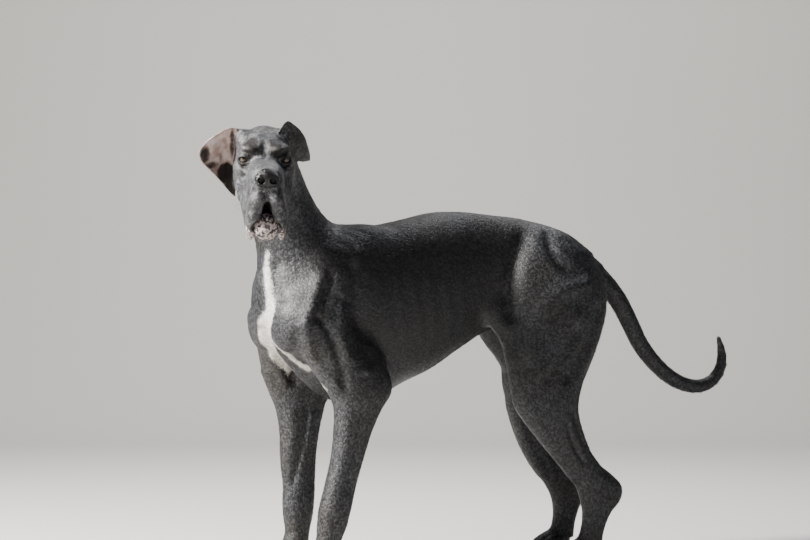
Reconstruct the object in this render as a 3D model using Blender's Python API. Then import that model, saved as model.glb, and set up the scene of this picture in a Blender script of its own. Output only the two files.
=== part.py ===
"""A life-size Great Dane that stands with its head turned to its left, parted into named nodes.

Frame: metres, +X towards the chest, +Y to the dog's left, +Z up, with the soles on Z = 0.
The body is one implicit solid: a signed distance that is built up from lumps with rounded joints.
Each node is meshed from it in its own region, at its own fineness, and parted by thin cuts.
"""

import math

import bmesh
import bpy
import numpy as np

# Driving dimensions
GAP = 0.0003
EYE_RADIUS = 0.0125
EYE_SPACING = 0.0915
HEAD_YAW = math.radians(70.9)
HEAD_PITCH = math.radians(12.0)
EYE_LINE = np.array([0.490, 0.160, 0.978])
CLAW_LENGTH = 0.017
CLAW_RADIUS = 0.0050
TOE_PITCH = 0.0205
WRIST_CUT = 0.085
HOCK_CUT = 0.080

# Trunk, cut across X: place, top line, underline, half width
TRUNK = np.array([
    (-0.455, 0.738, 0.680, 0.025),
    (-0.430, 0.758, 0.630, 0.045),
    (-0.390, 0.790, 0.585, 0.065),
    (-0.330, 0.828, 0.568, 0.082),
    (-0.250, 0.852, 0.572, 0.088),
    (-0.160, 0.862, 0.582, 0.086),
    (-0.080, 0.869, 0.541, 0.096),
    (0.000, 0.866, 0.492, 0.114),
    (0.080, 0.848, 0.457, 0.128),
    (0.150, 0.834, 0.425, 0.132),
    (0.220, 0.824, 0.413, 0.127),
    (0.290, 0.795, 0.435, 0.112),
    (0.350, 0.755, 0.488, 0.094),
    (0.400, 0.720, 0.550, 0.072),
    (0.432, 0.690, 0.610, 0.040),
])

# Limbs, cut across Z: height, front edge, rear edge, distance from the midplane, half width
LEFT_FORELEG = np.array([
    (0.620, 0.400, 0.270, 0.094, 0.028),
    (0.560, 0.372, 0.212, 0.102, 0.038),
    (0.500, 0.336, 0.170, 0.108, 0.043),
    (0.450, 0.310, 0.171, 0.112, 0.042),
    (0.405, 0.297, 0.184, 0.112, 0.040),
    (0.350, 0.297, 0.207, 0.110, 0.036),
    (0.290, 0.305, 0.226, 0.109, 0.031),
    (0.225, 0.321, 0.245, 0.108, 0.029),
    (0.170, 0.335, 0.258, 0.107, 0.033),
    (0.140, 0.338, 0.266, 0.107, 0.033),
    (0.100, 0.342, 0.282, 0.107, 0.029),
    (0.060, 0.362, 0.290, 0.107, 0.032),
])
RIGHT_FORELEG = np.array([
    (0.620, 0.418, 0.300, 0.094, 0.028),
    (0.560, 0.410, 0.245, 0.102, 0.038),
    (0.500, 0.398, 0.218, 0.108, 0.043),
    (0.450, 0.377, 0.220, 0.112, 0.042),
    (0.405, 0.357, 0.230, 0.112, 0.040),
    (0.350, 0.345, 0.244, 0.110, 0.036),
    (0.290, 0.342, 0.253, 0.109, 0.031),
    (0.225, 0.337, 0.257, 0.108, 0.029),
    (0.170, 0.338, 0.260, 0.107, 0.033),
    (0.140, 0.336, 0.264, 0.107, 0.033),
    (0.100, 0.332, 0.272, 0.107, 0.029),
    (0.060, 0.346, 0.276, 0.107, 0.032),
])
LEFT_HINDLEG = np.array([
    (0.760, -0.235, -0.400, 0.055, 0.040),
    (0.700, -0.195, -0.432, 0.072, 0.050),
    (0.640, -0.176, -0.438, 0.080, 0.053),
    (0.560, -0.167, -0.416, 0.086, 0.052),
    (0.500, -0.164, -0.388, 0.092, 0.048),
    (0.450, -0.168, -0.362, 0.097, 0.044),
    (0.395, -0.181, -0.350, 0.099, 0.039),
    (0.335, -0.231, -0.364, 0.099, 0.033),
    (0.283, -0.279, -0.392, 0.099, 0.028),
    (0.240, -0.318, -0.430, 0.099, 0.025),
    (0.200, -0.347, -0.472, 0.099, 0.026),
    (0.170, -0.358, -0.472, 0.099, 0.026),
    (0.130, -0.366, -0.440, 0.099, 0.024),
    (0.090, -0.360, -0.422, 0.099, 0.024),
    (0.055, -0.345, -0.415, 0.099, 0.028),
])
RIGHT_HINDLEG = np.array([
    (0.760, -0.240, -0.405, 0.055, 0.040),
    (0.700, -0.206, -0.438, 0.072, 0.050),
    (0.640, -0.200, -0.446, 0.080, 0.053),
    (0.560, -0.224, -0.440, 0.086, 0.052),
    (0.500, -0.245, -0.436, 0.092, 0.048),
    (0.450, -0.248, -0.426, 0.097, 0.044),
    (0.395, -0.262, -0.418, 0.099, 0.039),
    (0.335, -0.281, -0.408, 0.099, 0.033),
    (0.283, -0.304, -0.416, 0.099, 0.028),
    (0.240, -0.330, -0.442, 0.099, 0.025),
    (0.200, -0.360, -0.484, 0.099, 0.026),
    (0.170, -0.380, -0.488, 0.099, 0.026),
    (0.130, -0.392, -0.466, 0.099, 0.024),
    (0.090, -0.390, -0.452, 0.099, 0.024),
    (0.055, -0.377, -0.447, 0.099, 0.028),
])
HIND_STEP = 0.030

# Neck: centre, half depth, half width
NECK = np.array([
    (0.225, 0.000, 0.665, 0.150, 0.100),
    (0.317, 0.000, 0.735, 0.117, 0.090),
    (0.361, 0.004, 0.810, 0.089, 0.076),
    (0.396, 0.015, 0.880, 0.077, 0.067),
    (0.424, 0.032, 0.945, 0.070, 0.060),
    (0.438, 0.048, 0.985, 0.058, 0.052),
])

# Tail: centre and radius
TAIL = np.array([
    (-0.395, 0.000, 0.752, 0.036),
    (-0.438, 0.000, 0.728, 0.031),
    (-0.480, 0.000, 0.698, 0.026),
    (-0.520, 0.000, 0.656, 0.0235),
    (-0.556, 0.000, 0.597, 0.0220),
    (-0.586, 0.000, 0.543, 0.0210),
    (-0.622, 0.000, 0.500, 0.0200),
    (-0.664, 0.000, 0.464, 0.0190),
    (-0.712, 0.000, 0.439, 0.0180),
    (-0.760, 0.000, 0.432, 0.0170),
    (-0.802, 0.000, 0.447, 0.0155),
    (-0.826, 0.000, 0.480, 0.0140),
    (-0.829, 0.000, 0.518, 0.0115),
    (-0.820, 0.000, 0.552, 0.0060),
])


def through(knots, values, at):
    """Smooth curve through values at rising knots: a cubic between each pair, with averaged slopes."""
    knots = np.asarray(knots, float)
    values = np.asarray(values, float)
    spans = np.diff(knots)
    rises = np.diff(values) / spans
    slopes = np.empty_like(values)
    slopes[1:-1] = (rises[:-1] * spans[1:] + rises[1:] * spans[:-1]) / (spans[:-1] + spans[1:])
    slopes[0] = rises[0]
    slopes[-1] = rises[-1]
    at = np.clip(at, knots[0], knots[-1])
    i = np.clip(np.searchsorted(knots, at, side="right") - 1, 0, len(spans) - 1)
    h = spans[i]
    t = (at - knots[i]) / h
    rest = 1 - t
    ends = values[i] * (1 + 2 * t) * rest**2 + values[i + 1] * t**2 * (3 - 2 * t)
    return ends + h * t * rest * (slopes[i] * rest - slopes[i + 1] * t)


def finer(rows, count):
    """Rows of a table read at count even places along its length, on smooth curves."""
    rows = np.asarray(rows, float)
    steps = np.linalg.norm(np.diff(rows[:, :3], axis=0), axis=1)
    along = np.concatenate([[0.0], np.cumsum(steps)])
    at = np.linspace(0.0, along[-1], count)
    return np.stack([through(along, column, at) for column in rows.T], axis=1)


def joined(a, b, blend):
    """Union of two distances with a round fillet of about the size of blend."""
    if blend <= 0:
        return np.minimum(a, b)
    h = np.clip(0.5 + 0.5 * (b - a) / blend, 0.0, 1.0)
    return b + (a - b) * h - blend * h * (1.0 - h)


class Clay:
    """A solid as a signed distance, built up in order from lumps that are added or cut away."""

    def __init__(self):
        self.steps = []

    def add(self, shape, blend):
        self.steps.append((shape, blend, 1))
        return self

    def cut(self, shape, blend):
        self.steps.append((shape, blend, -1))
        return self

    def box(self):
        """The two corners around everything that was added."""
        lows = [shape[1] - blend for shape, blend, sign in self.steps if sign > 0]
        highs = [shape[2] + blend for shape, blend, sign in self.steps if sign > 0]
        return np.min(lows, axis=0), np.max(highs, axis=0)

    def __call__(self, p):
        d = np.full(len(p), 0.2)
        for (measure, low, high), blend, sign in self.steps:
            reach = 1.4 * blend + 0.02
            near = np.all((p > low - reach) & (p < high + reach), axis=1)
            if not near.any():
                continue
            own = measure(p[near])
            if sign > 0:
                d[near] = joined(d[near], own, blend)
            else:
                d[near] = -joined(-d[near], own, blend)
        return d


def placed(clay, origin, axes):
    """A clay modelled in its own frame, set at origin with its axes as the rows of a matrix."""
    low, high = clay.box()
    corners = np.array([(x, y, z) for x in (low[0], high[0]) for y in (low[1], high[1]) for z in (low[2], high[2])])
    corners = corners @ axes + origin
    return (lambda p: clay((p - origin) @ axes.T), corners.min(axis=0), corners.max(axis=0))


def turned(yaw=0.0, pitch=0.0, roll=0.0):
    """Rows: forward, left and up of a frame that is yawed about Z, dips its nose by pitch and rolls."""
    cy, sy = math.cos(yaw), math.sin(yaw)
    cp, sp = math.cos(pitch), math.sin(pitch)
    forward = np.array([cy * cp, sy * cp, -sp])
    left = np.array([-sy, cy, 0.0])
    up = np.cross(forward, left)
    cr, sr = math.cos(roll), math.sin(roll)
    return np.array([forward, left * cr + up * sr, up * cr - left * sr])


def ball(centre, radii, axes=None):
    """Ellipsoid: the distance is the scaled length times its ratio to the length of its slope."""
    centre = np.asarray(centre, float)
    radii = np.asarray(radii, float) * np.ones(3)
    axes = np.eye(3) if axes is None else axes

    def measure(p):
        q = (p - centre) @ axes.T
        k0 = np.linalg.norm(q / radii, axis=1)
        k1 = np.linalg.norm(q / radii**2, axis=1)
        return k0 * (k0 - 1.0) / np.maximum(k1, 1e-9)

    span = np.abs(axes.T) @ radii
    return measure, centre - span, centre + span


def hose(rows, side=(0.0, 1.0, 0.0), count=18):
    """Tube along a path. Rows: centre, half depth and half width, which lies along side."""
    rows = finer(rows, count)
    if rows.shape[1] == 4:
        rows = np.column_stack([rows, rows[:, 3]])
    side = np.asarray(side, float)

    def measure(p):
        best = np.full(len(p), 9.0)
        for a, b in zip(rows[:-1], rows[1:]):
            step = b[:3] - a[:3]
            t = np.clip((p - a[:3]) @ step / (step @ step), 0.0, 1.0)
            q = p - a[:3] - t[:, None] * step
            deep = a[3] + (b[3] - a[3]) * t
            wide = a[4] + (b[4] - a[4]) * t
            across = q @ side
            rest = np.sqrt(np.maximum((q * q).sum(axis=1) - across**2, 0.0))
            far = np.sqrt(across**2 + rest**2)
            ratio = np.sqrt((across / wide) ** 2 + (rest / deep) ** 2)
            best = np.minimum(best, far - far / np.maximum(ratio, 1e-6))
        return best

    reach = rows[:, 3:5].max(axis=1)[:, None]
    return measure, (rows[:, :3] - reach).min(axis=0), (rows[:, :3] + reach).max(axis=0)


def rounded(a, b, n):
    """Length of (a, b) under the power n: 1 on a superellipse when a and b are shares of its radii."""
    return (np.abs(a) ** n + np.abs(b) ** n) ** (1.0 / n)


def trunk(rows, crown=0.56, upper=2.15, lower=1.85):
    """Body along X. Rows: place, top, bottom, half width. Each section is widest at the share crown
    of its height, and a superellipse of one power above and another below."""
    knots = rows[:, 0]

    def measure(p):
        x = np.clip(p[:, 0], knots[0], knots[-1])
        top, bottom, half = (through(knots, rows[:, i], x) for i in (1, 2, 3))
        middle = bottom + crown * (top - bottom)
        y, z = p[:, 1], p[:, 2] - middle
        above = rounded(y / half, z / (top - middle), upper)
        below = rounded(y / half, z / (middle - bottom), lower)
        ratio = np.where(z > 0, above, below)
        far = np.hypot(y, z)
        d = far - far / np.maximum(ratio, 1e-6)
        past = p[:, 0] - x
        return np.where(past == 0.0, d, np.hypot(np.maximum(d, 0.0), past))

    half = rows[:, 3].max()
    low = np.array([knots[0], -half, rows[:, 2].min()])
    high = np.array([knots[-1], half, rows[:, 1].max()])
    return measure, low, high


def limb(rows, sign, power=2.2):
    """Leg along Z. Rows: height, front edge, rear edge, distance from the midplane, half width."""
    rows = rows[::-1]
    knots = rows[:, 0]
    slope = np.gradient((rows[:, 1] + rows[:, 2]) / 2, knots)

    def measure(p):
        z = np.clip(p[:, 2], knots[0], knots[-1])
        front, rear, out, half = (through(knots, rows[:, i], z) for i in (1, 2, 3, 4))
        x = p[:, 0] - (front + rear) / 2
        y = p[:, 1] - sign * out
        ratio = rounded(x / ((front - rear) / 2), y / half, power)
        far = np.hypot(x, y)
        d = (far - far / np.maximum(ratio, 1e-6)) / np.sqrt(1.0 + np.interp(z, knots, slope) ** 2)
        past = p[:, 2] - z
        return np.where(past == 0.0, d, np.hypot(np.maximum(d, 0.0), past))

    outer = rows[:, 3].max() + rows[:, 4].max()
    inner = rows[:, 3].min() - rows[:, 4].max()
    sides = sorted((sign * inner, sign * outer))
    return (
        measure,
        np.array([rows[:, 2].min(), sides[0], knots[0]]),
        np.array([rows[:, 1].max(), sides[1], knots[-1]]),
    )


def mirrored(rows, sign):
    """Rows of points with Y turned to the side of sign."""
    rows = np.array(rows, float)
    rows[:, 1] *= sign
    return rows


def paw_clay(length, width):
    """Arched paw in its own frame: forward, left and up from the middle of its sole."""
    clay = Clay()
    clay.add(ball((-0.10 * length, 0, 0.042), (0.42 * length, 0.36 * width, 0.032)), 0.01)
    for place, back in ((-1.5, 0.012), (-0.5, 0.0), (0.5, 0.0), (1.5, 0.012)):
        y = place * TOE_PITCH * width / 0.088
        reach = 0.5 * length - back
        toe = [
            (reach - 0.058, y * 0.80, 0.046, 0.014, 0.012),
            (reach - 0.034, y * 0.96, 0.046, 0.0150, 0.0118),
            (reach - 0.016, y * 1.02, 0.029, 0.0140, 0.0112),
            (reach - 0.010, y * 1.02, 0.014, 0.0125, 0.0105),
        ]
        clay.add(hose(toe, count=7), 0.005)
        clay.add(ball((reach - 0.016, y, 0.006), (0.015, 0.0105, 0.010)), 0.003)
    clay.add(ball((-0.16 * length, 0, 0.012), (0.026, 0.030, 0.016)), 0.006)
    return clay


def claw_places(length, width):
    """Root points of the four claws in the paw's frame."""
    places = []
    for place, back in ((-1.5, 0.012), (-0.5, 0.0), (0.5, 0.0), (1.5, 0.012)):
        places.append((0.5 * length - back - 0.003, place * TOE_PITCH * width / 0.088 * 1.03, 0.0205))
    return places


# Paws: name, origin on the floor, length and width
FORE_PAW = (0.118, 0.088)
HIND_PAW = (0.108, 0.080)
PAWS = {
    "left_fore": ((0.352, 0.108, 0.0), FORE_PAW),
    "right_fore": ((0.335, -0.108, 0.0), FORE_PAW),
    "left_hind": ((-0.352, 0.100, 0.0), HIND_PAW),
    "right_hind": ((-0.352 - HIND_STEP, -0.100, 0.0), HIND_PAW),
}


# Head's tables in its own frame. Muzzle: place, top, bottom, half width. Lip and jaw: centre, half
# depth, half width
MUZZLE = np.array([
    (-0.030, 0.000, -0.100, 0.052),
    (0.010, 0.003, -0.098, 0.0465),
    (0.045, 0.004, -0.100, 0.0415),
    (0.085, 0.005, -0.102, 0.0400),
    (0.118, 0.005, -0.098, 0.0375),
    (0.138, 0.001, -0.086, 0.0320),
    (0.149, -0.010, -0.070, 0.0220),
])
LIP = [
    (0.133, 0.022, -0.072, 0.020, 0.0160),
    (0.124, 0.0285, -0.100, 0.026, 0.0170),
    (0.104, 0.0330, -0.124, 0.032, 0.0135),
    (0.078, 0.0350, -0.138, 0.033, 0.0112),
    (0.045, 0.0365, -0.134, 0.030, 0.0112),
    (0.010, 0.0385, -0.112, 0.028, 0.0125),
    (-0.020, 0.0400, -0.092, 0.028, 0.0150),
]
JAW = [
    (0.000, 0, -0.114, 0.018, 0.026),
    (0.020, 0, -0.119, 0.019, 0.027),
    (0.050, 0, -0.127, 0.019, 0.0250),
    (0.086, 0, -0.133, 0.020, 0.0235),
]
EYE_SEAT = (-0.0040, EYE_SPACING / 2, 0.0)


def head_clay():
    """Head without the ears, nose leather and lower jaw, from the point between the eyes: forward,
    left, up."""
    clay = Clay()
    clay.add(ball((-0.078, 0, -0.012), (0.082, 0.062, 0.067)), 0.01)
    clay.add(ball((-0.128, 0, -0.002), (0.040, 0.040, 0.050)), 0.03)
    # Forehead over a clear stop
    clay.add(ball((-0.038, 0, 0.010), (0.050, 0.050, 0.038)), 0.02)
    clay.add(trunk(MUZZLE, crown=0.60, upper=3.0, lower=2.8), 0.018)
    clay.add(ball((-0.050, 0, -0.080), (0.060, 0.044, 0.042)), 0.03)
    for side in (1, -1):
        # Ear's base, cheek, cheek bone and brow
        clay.add(ball((-0.086, side * 0.047, 0.032), (0.034, 0.019, 0.024)), 0.02)
        clay.add(ball((-0.056, side * 0.042, -0.050), (0.058, 0.027, 0.046)), 0.02)
        clay.add(ball((-0.024, side * 0.050, -0.022), (0.040, 0.020, 0.019)), 0.015)
        clay.add(ball((-0.006, side * 0.034, 0.022), (0.022, 0.022, 0.011), turned(side * -0.4)), 0.016)
        # Flesh above the mouth's corner, and the front of the upper lip
        clay.add(ball((0.026, side * 0.029, -0.098), (0.066, 0.021, 0.036)), 0.02)
        clay.add(ball((0.128, side * 0.018, -0.068), (0.025, 0.019, 0.028)), 0.010)
        # Upper lip that hangs as a deep lobe past the lower jaw
        clay.add(hose(mirrored(LIP, side), count=14), 0.012)
    # Middle furrow of the forehead
    furrow = [(0.020, 0, 0.014, 0.005), (-0.006, 0, 0.044, 0.005), (-0.060, 0, 0.062, 0.004), (-0.110, 0, 0.062, 0.002)]
    clay.cut(hose(furrow, count=8), 0.010)
    # Cleft below the nose that widens to the dark wedge of the mouth
    cleft = [(0.160, 0, -0.048, 0.0018), (0.158, 0, -0.058, 0.0042), (0.153, 0, -0.071, 0.0070), (0.147, 0, -0.084, 0.0090)]
    clay.cut(hose(cleft, count=8), 0.005)
    clay.cut(ball((0.128, 0, -0.096), (0.036, 0.0122, 0.029)), 0.005)
    # Room for the chin, which stands forward between the lips
    clay.cut(ball((0.134, 0, -0.133), (0.028, 0.0325, 0.0240)), 0.004)
    # Eyelids: a shell round each eye with an almond opening
    for side in (1, -1):
        gaze = turned(side * 0.26, 0.03, side * 0.10)
        eye = np.array(EYE_SEAT) * (1, side, 1)
        clay.add(ball(eye, (EYE_RADIUS + 0.0038,) * 3), 0.012)
        clay.cut(ball(eye + gaze[0] * 0.0165 - gaze[2] * 0.0006, (0.0125, 0.0128, 0.0072), gaze), 0.002)
        crease = mirrored([
            (0.014, 0.034, 0.0080, 0.0014),
            (0.014, 0.044, 0.0125, 0.0018),
            (0.006, 0.056, 0.0085, 0.0014),
        ], side)
        clay.cut(hose(crease, count=7), 0.004)
    return clay


def nose_clay():
    """Nose leather in the head's frame, with round nostrils that trail a slit outwards."""
    clay = Clay()
    clay.add(ball((0.138, 0, -0.0210), (0.0205, 0.0272, 0.0230)), 0.0)
    for side in (1, -1):
        clay.add(ball((0.1465, side * 0.0158, -0.0230), (0.0115, 0.0113, 0.0145)), 0.004)
        clay.cut(ball((0.1600, side * 0.0130, -0.0230), (0.0105, 0.0074, 0.0080)), 0.002)
        clay.cut(ball((0.1530, side * 0.0242, -0.0285), (0.0110, 0.0052, 0.0025)), 0.002)
    clay.cut(hose([(0.1620, 0, -0.006, 0.0010), (0.1600, 0, -0.024, 0.0014), (0.1560, 0, -0.040, 0.0024)], count=6), 0.003)
    return clay


def jaw_clay():
    """Lower jaw in the head's frame, with a round chin between the lips."""
    clay = Clay()
    clay.add(hose(JAW, count=10), 0.01)
    clay.add(ball((0.121, 0, -0.1355), (0.0260, 0.0310, 0.0270)), 0.010)
    clay.add(ball((0.116, 0, -0.121), (0.0230, 0.0220, 0.0190)), 0.012)
    clay.cut(hose([(0.143, 0, -0.106, 0.003), (0.141, 0, -0.125, 0.002)], count=4), 0.006)
    return clay


# Ears in the head's frame, as the four edges of a leaf: root, upper edge, free rim, lower edge
RIGHT_EAR = {
    "root": [(-0.074, -0.042, 0.052), (-0.080, -0.050, 0.020), (-0.085, -0.058, -0.022)],
    "upper": [(-0.074, -0.042, 0.052), (-0.071, -0.077, 0.058), (-0.067, -0.107, 0.0435),
              (-0.062, -0.135, 0.0220), (-0.060, -0.1455, 0.0060)],
    "rim": [(-0.060, -0.1455, 0.0060), (-0.057, -0.141, -0.0120), (-0.057, -0.125, -0.0310),
            (-0.060, -0.1025, -0.0550), (-0.065, -0.081, -0.0800), (-0.070, -0.066, -0.0960)],
    "lower": [(-0.085, -0.058, -0.022), (-0.082, -0.066, -0.050), (-0.070, -0.066, -0.0960)],
    "cup": -0.024,
}
LEFT_EAR = {
    "root": [(-0.056, 0.034, 0.052), (-0.068, 0.046, 0.030), (-0.085, 0.057, 0.006)],
    "upper": [(-0.056, 0.034, 0.052), (-0.062, 0.052, 0.0745), (-0.082, 0.070, 0.064),
              (-0.112, 0.0945, 0.034), (-0.138, 0.1055, 0.004)],
    "rim": [(-0.138, 0.1055, 0.004), (-0.150, 0.109, -0.011), (-0.160, 0.1105, -0.0275)],
    "lower": [(-0.085, 0.057, 0.006), (-0.099, 0.074, -0.011), (-0.120, 0.088, -0.0225), (-0.160, 0.1105, -0.0275)],
    "cup": 0.012,
}
EAR_THICKNESS = 0.0045


def leaf(edges, across, along):
    """Points over an ear: the sheet between its four edges, hollowed or bulged by its cup."""

    def edge(name, count):
        return finer(edges[name], count)

    u = np.linspace(0, 1, along)[:, None, None]
    v = np.linspace(0, 1, across)[None, :, None]
    upper, lower = edge("upper", along)[:, None, :], edge("lower", along)[:, None, :]
    root, rim = edge("root", across)[None, :, :], edge("rim", across)[None, :, :]
    corners = (1 - u) * ((1 - v) * root[:, :1] + v * root[:, -1:]) + u * ((1 - v) * rim[:, :1] + v * rim[:, -1:])
    points = (1 - v) * upper + v * lower + (1 - u) * root + u * rim - corners
    points[..., 0] += edges["cup"] * (np.sin(np.pi * v) * np.sin(np.pi * np.clip(u * 0.9, 0, 1)) ** 0.8)[..., 0]
    return points


def ear_mesh(edges, across=8, along=10):
    """Closed sheet of an even thickness that thins to its free rim."""
    points = leaf(edges, across, along)
    du = np.gradient(points, axis=0)
    dv = np.gradient(points, axis=1)
    normals = np.cross(du, dv)
    normals /= np.linalg.norm(normals, axis=-1, keepdims=True)
    half = EAR_THICKNESS / 2 * np.ones((along, across, 1))
    half[-1] *= 0.55
    half[:, 0] *= 0.75
    half[:, -1] *= 0.65
    front, back = points + normals * half, points - normals * half
    number = np.arange(along * across).reshape(along, across)
    quads = np.stack([number[:-1, :-1], number[1:, :-1], number[1:, 1:], number[:-1, 1:]], axis=-1).reshape(-1, 4)
    second = number.size
    border = np.concatenate([number[:, 0], number[-1, 1:], number[-2::-1, -1], number[0, -2:0:-1]])
    after = np.roll(border, -1)
    rim = np.stack([after, border, border + second, after + second], axis=1)
    quads = np.concatenate([quads, quads[:, ::-1] + second, rim])
    return np.concatenate([front.reshape(-1, 3), back.reshape(-1, 3)]), quads


def unambiguous(values, cell):
    """Turn the smallest value of each grid square that is inside at two opposite corners only, so
    that no two sheets of the surface share an edge."""
    for attempt in range(12):
        inside = values < 0
        turned_any = False
        for axis in range(3):
            one, two = (axis + 1) % 3, (axis + 2) % 3

            def corner(i, j):
                at = [slice(None)] * 3
                at[one] = slice(i, values.shape[one] - 1 + i)
                at[two] = slice(j, values.shape[two] - 1 + j)
                return inside[tuple(at)]

            bad = (corner(0, 0) == corner(1, 1)) & (corner(1, 0) == corner(0, 1)) & (corner(0, 0) != corner(1, 0))
            for place in np.argwhere(bad):
                ring = []
                for i, j in ((0, 0), (1, 0), (1, 1), (0, 1)):
                    at = place.copy()
                    at[one] += i
                    at[two] += j
                    ring.append(tuple(at))
                sizes = [abs(values[at]) for at in ring]
                at = ring[int(np.argmin(sizes))]
                values[at] = -0.05 * cell if values[at] >= 0 else 0.05 * cell
                turned_any = True
        inside = values < 0
        first = [slice(0, -1), slice(1, None)]
        count = sum(
            inside[first[i], first[j], first[k]].astype(int) for i in (0, 1) for j in (0, 1) for k in (0, 1)
        )
        for i, j, k in ((0, 0, 0), (1, 0, 0), (0, 1, 0), (0, 0, 1)):
            near = inside[first[i], first[j], first[k]]
            far = inside[first[1 - i], first[1 - j], first[1 - k]]
            for where, value in (((count == 2) & near & far, 1), ((count == 6) & ~near & ~far, -1)):
                for place in np.argwhere(where):
                    values[tuple(place + (i, j, k))] = value * 0.05 * cell
                    turned_any = True
        if not turned_any:
            break
    return values


def surface_net(field, low, high, cell):
    """Closed mesh of field = 0: one vertex in each cell that the surface crosses, at the mean of the
    crossings on the cell's edges, and one quad for each grid edge that it crosses."""
    low = np.asarray(low, float) - 1.5 * cell
    counts = np.ceil((np.asarray(high, float) + 1.5 * cell - low) / cell).astype(int) + 1
    axes = [low[i] + cell * np.arange(counts[i]) for i in range(3)]
    grid = np.stack(np.meshgrid(*axes, indexing="ij"), axis=-1)
    values = field(grid.reshape(-1, 3)).reshape(counts)
    for axis in range(3):
        ends = [slice(None)] * 3
        for end in (0, -1):
            ends[axis] = end
            values[tuple(ends)] = np.maximum(values[tuple(ends)], 0.5 * cell)
    values = unambiguous(values, cell)
    inside = values < 0
    shape = tuple(counts - 1)
    total = np.zeros(shape + (3,))
    hits = np.zeros(shape)
    corners = [(i, j, k) for i in (0, 1) for j in (0, 1) for k in (0, 1)]
    for a in corners:
        for axis in range(3):
            if a[axis]:
                continue
            b = tuple(1 if i == axis else a[i] for i in range(3))
            at_a = tuple(slice(a[i], a[i] + shape[i]) for i in range(3))
            at_b = tuple(slice(b[i], b[i] + shape[i]) for i in range(3))
            va, vb = values[at_a], values[at_b]
            crossed = inside[at_a] != inside[at_b]
            share = np.where(crossed, va / np.where(crossed, va - vb, 1.0), 0.0)
            for i in range(3):
                part = float(a[i]) + (share if i == axis else 0.0)
                total[..., i] += np.where(crossed, part, 0.0)
            hits += crossed
    live = hits > 0
    number = np.full(shape, -1)
    number[live] = np.arange(live.sum())
    cells = np.argwhere(live)
    points = low + cell * (cells + total[live] / hits[live][:, None])
    quads = []
    for axis in range(3):
        one, two = (axis + 1) % 3, (axis + 2) % 3
        lower = [slice(1, -1)] * 3
        upper = [slice(1, -1)] * 3
        lower[axis], upper[axis] = slice(0, -1), slice(1, None)
        start, end = inside[tuple(lower)], inside[tuple(upper)]
        for flip in (False, True):
            where = np.argwhere(end & ~start if flip else start & ~end)
            where[:, one] += 1
            where[:, two] += 1
            ring = []
            for da, db in ((1, 1), (0, 1), (0, 0), (1, 0)):
                at = where.copy()
                at[:, one] -= da
                at[:, two] -= db
                ring.append(number[tuple(at.T)])
            quad = np.stack(ring, axis=1)
            quads.append(quad[:, ::-1] if flip else quad)
    return points, np.concatenate(quads)


def body_clay():
    """Trunk, neck, legs and the tail's root, without the head and the paws."""
    clay = Clay()
    clay.add(trunk(TRUNK), 0.0)
    # Point of the breast
    clay.add(ball((0.385, 0.0, 0.655), (0.055, 0.075, 0.075)), 0.05)
    for side in (1, -1):
        fore = LEFT_FORELEG if side > 0 else RIGHT_FORELEG
        shift = 0.0 if side > 0 else -0.8 * HIND_STEP
        # Shoulder blade, upper arm and breast muscle
        clay.add(hose(mirrored([
            (0.190, 0.050, 0.775, 0.050, 0.030),
            (0.270, 0.085, 0.700, 0.070, 0.036),
            (0.345, 0.100, 0.610, 0.066, 0.040),
        ], side), count=8), 0.045)
        clay.add(hose(mirrored([
            (0.350, 0.098, 0.605, 0.060, 0.040),
            (0.295, 0.110, 0.540, 0.066, 0.040),
            ((fore[3, 1] + fore[3, 2]) / 2 - 0.005, 0.113, 0.455, 0.058, 0.036),
        ], side), count=8), 0.040)
        clay.add(ball((0.385, side * 0.060, 0.600), (0.048, 0.046, 0.062)), 0.04)
        clay.add(limb(fore, side), 0.030)
        # Point of the elbow
        clay.add(ball((fore[3, 2] + 0.014, side * 0.113, 0.452), (0.024, 0.018, 0.026)), 0.03)
        # Haunch, thigh and the point of the knee
        clay.add(ball((-0.300 + shift, side * 0.062, 0.700), (0.115, 0.058, 0.120)), 0.05)
        clay.add(ball((-0.215 + shift * 0.5, side * 0.070, 0.640), (0.050, 0.034, 0.090)), 0.05)
        clay.add(limb(LEFT_HINDLEG if side > 0 else RIGHT_HINDLEG, side), 0.045)
        # Fold of skin from the flank to the knee
        clay.add(hose(mirrored([
            (-0.150 + shift, 0.066, 0.620, 0.030, 0.018),
            (-0.182 + shift, 0.078, 0.570, 0.026, 0.016),
            (-0.200 + shift * 2, 0.088, 0.520, 0.020, 0.014),
        ], side), count=6), 0.04)
    clay.add(hose(NECK, count=14), 0.050)
    clay.add(hose(TAIL[:5], count=8), 0.035)
    return clay


def paw_shape(name):
    """A paw's lump in the world, and its frame."""
    origin, (length, width) = PAWS[name]
    axes = turned(math.radians(4.0 if name.startswith("left") else -4.0))
    return placed(paw_clay(length, width), np.array(origin), axes), np.array(origin), axes


# Making and cutting meshes

def new_object(name, points, faces):
    mesh = bpy.data.meshes.new(name)
    mesh.from_pydata([tuple(point) for point in points], [], [tuple(face) for face in faces])
    mesh.update()
    thing = bpy.data.objects.new(name, mesh)
    bpy.context.scene.collection.objects.link(thing)
    return thing


def applied(thing):
    """Replace an object's mesh by the mesh that its modifiers give."""
    graph = bpy.context.evaluated_depsgraph_get()
    graph.update()
    mesh = bpy.data.meshes.new_from_object(thing.evaluated_get(graph))
    old = thing.data
    thing.modifiers.clear()
    thing.data = mesh
    bpy.data.meshes.remove(old)
    mesh.name = thing.name


def thinned(thing, triangles):
    """Collapse the mesh to about a number of triangles."""
    count = sum(len(face.vertices) - 2 for face in thing.data.polygons)
    if count <= triangles:
        return
    step = thing.modifiers.new("thin", "DECIMATE")
    step.ratio = triangles / count
    applied(thing)


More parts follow.
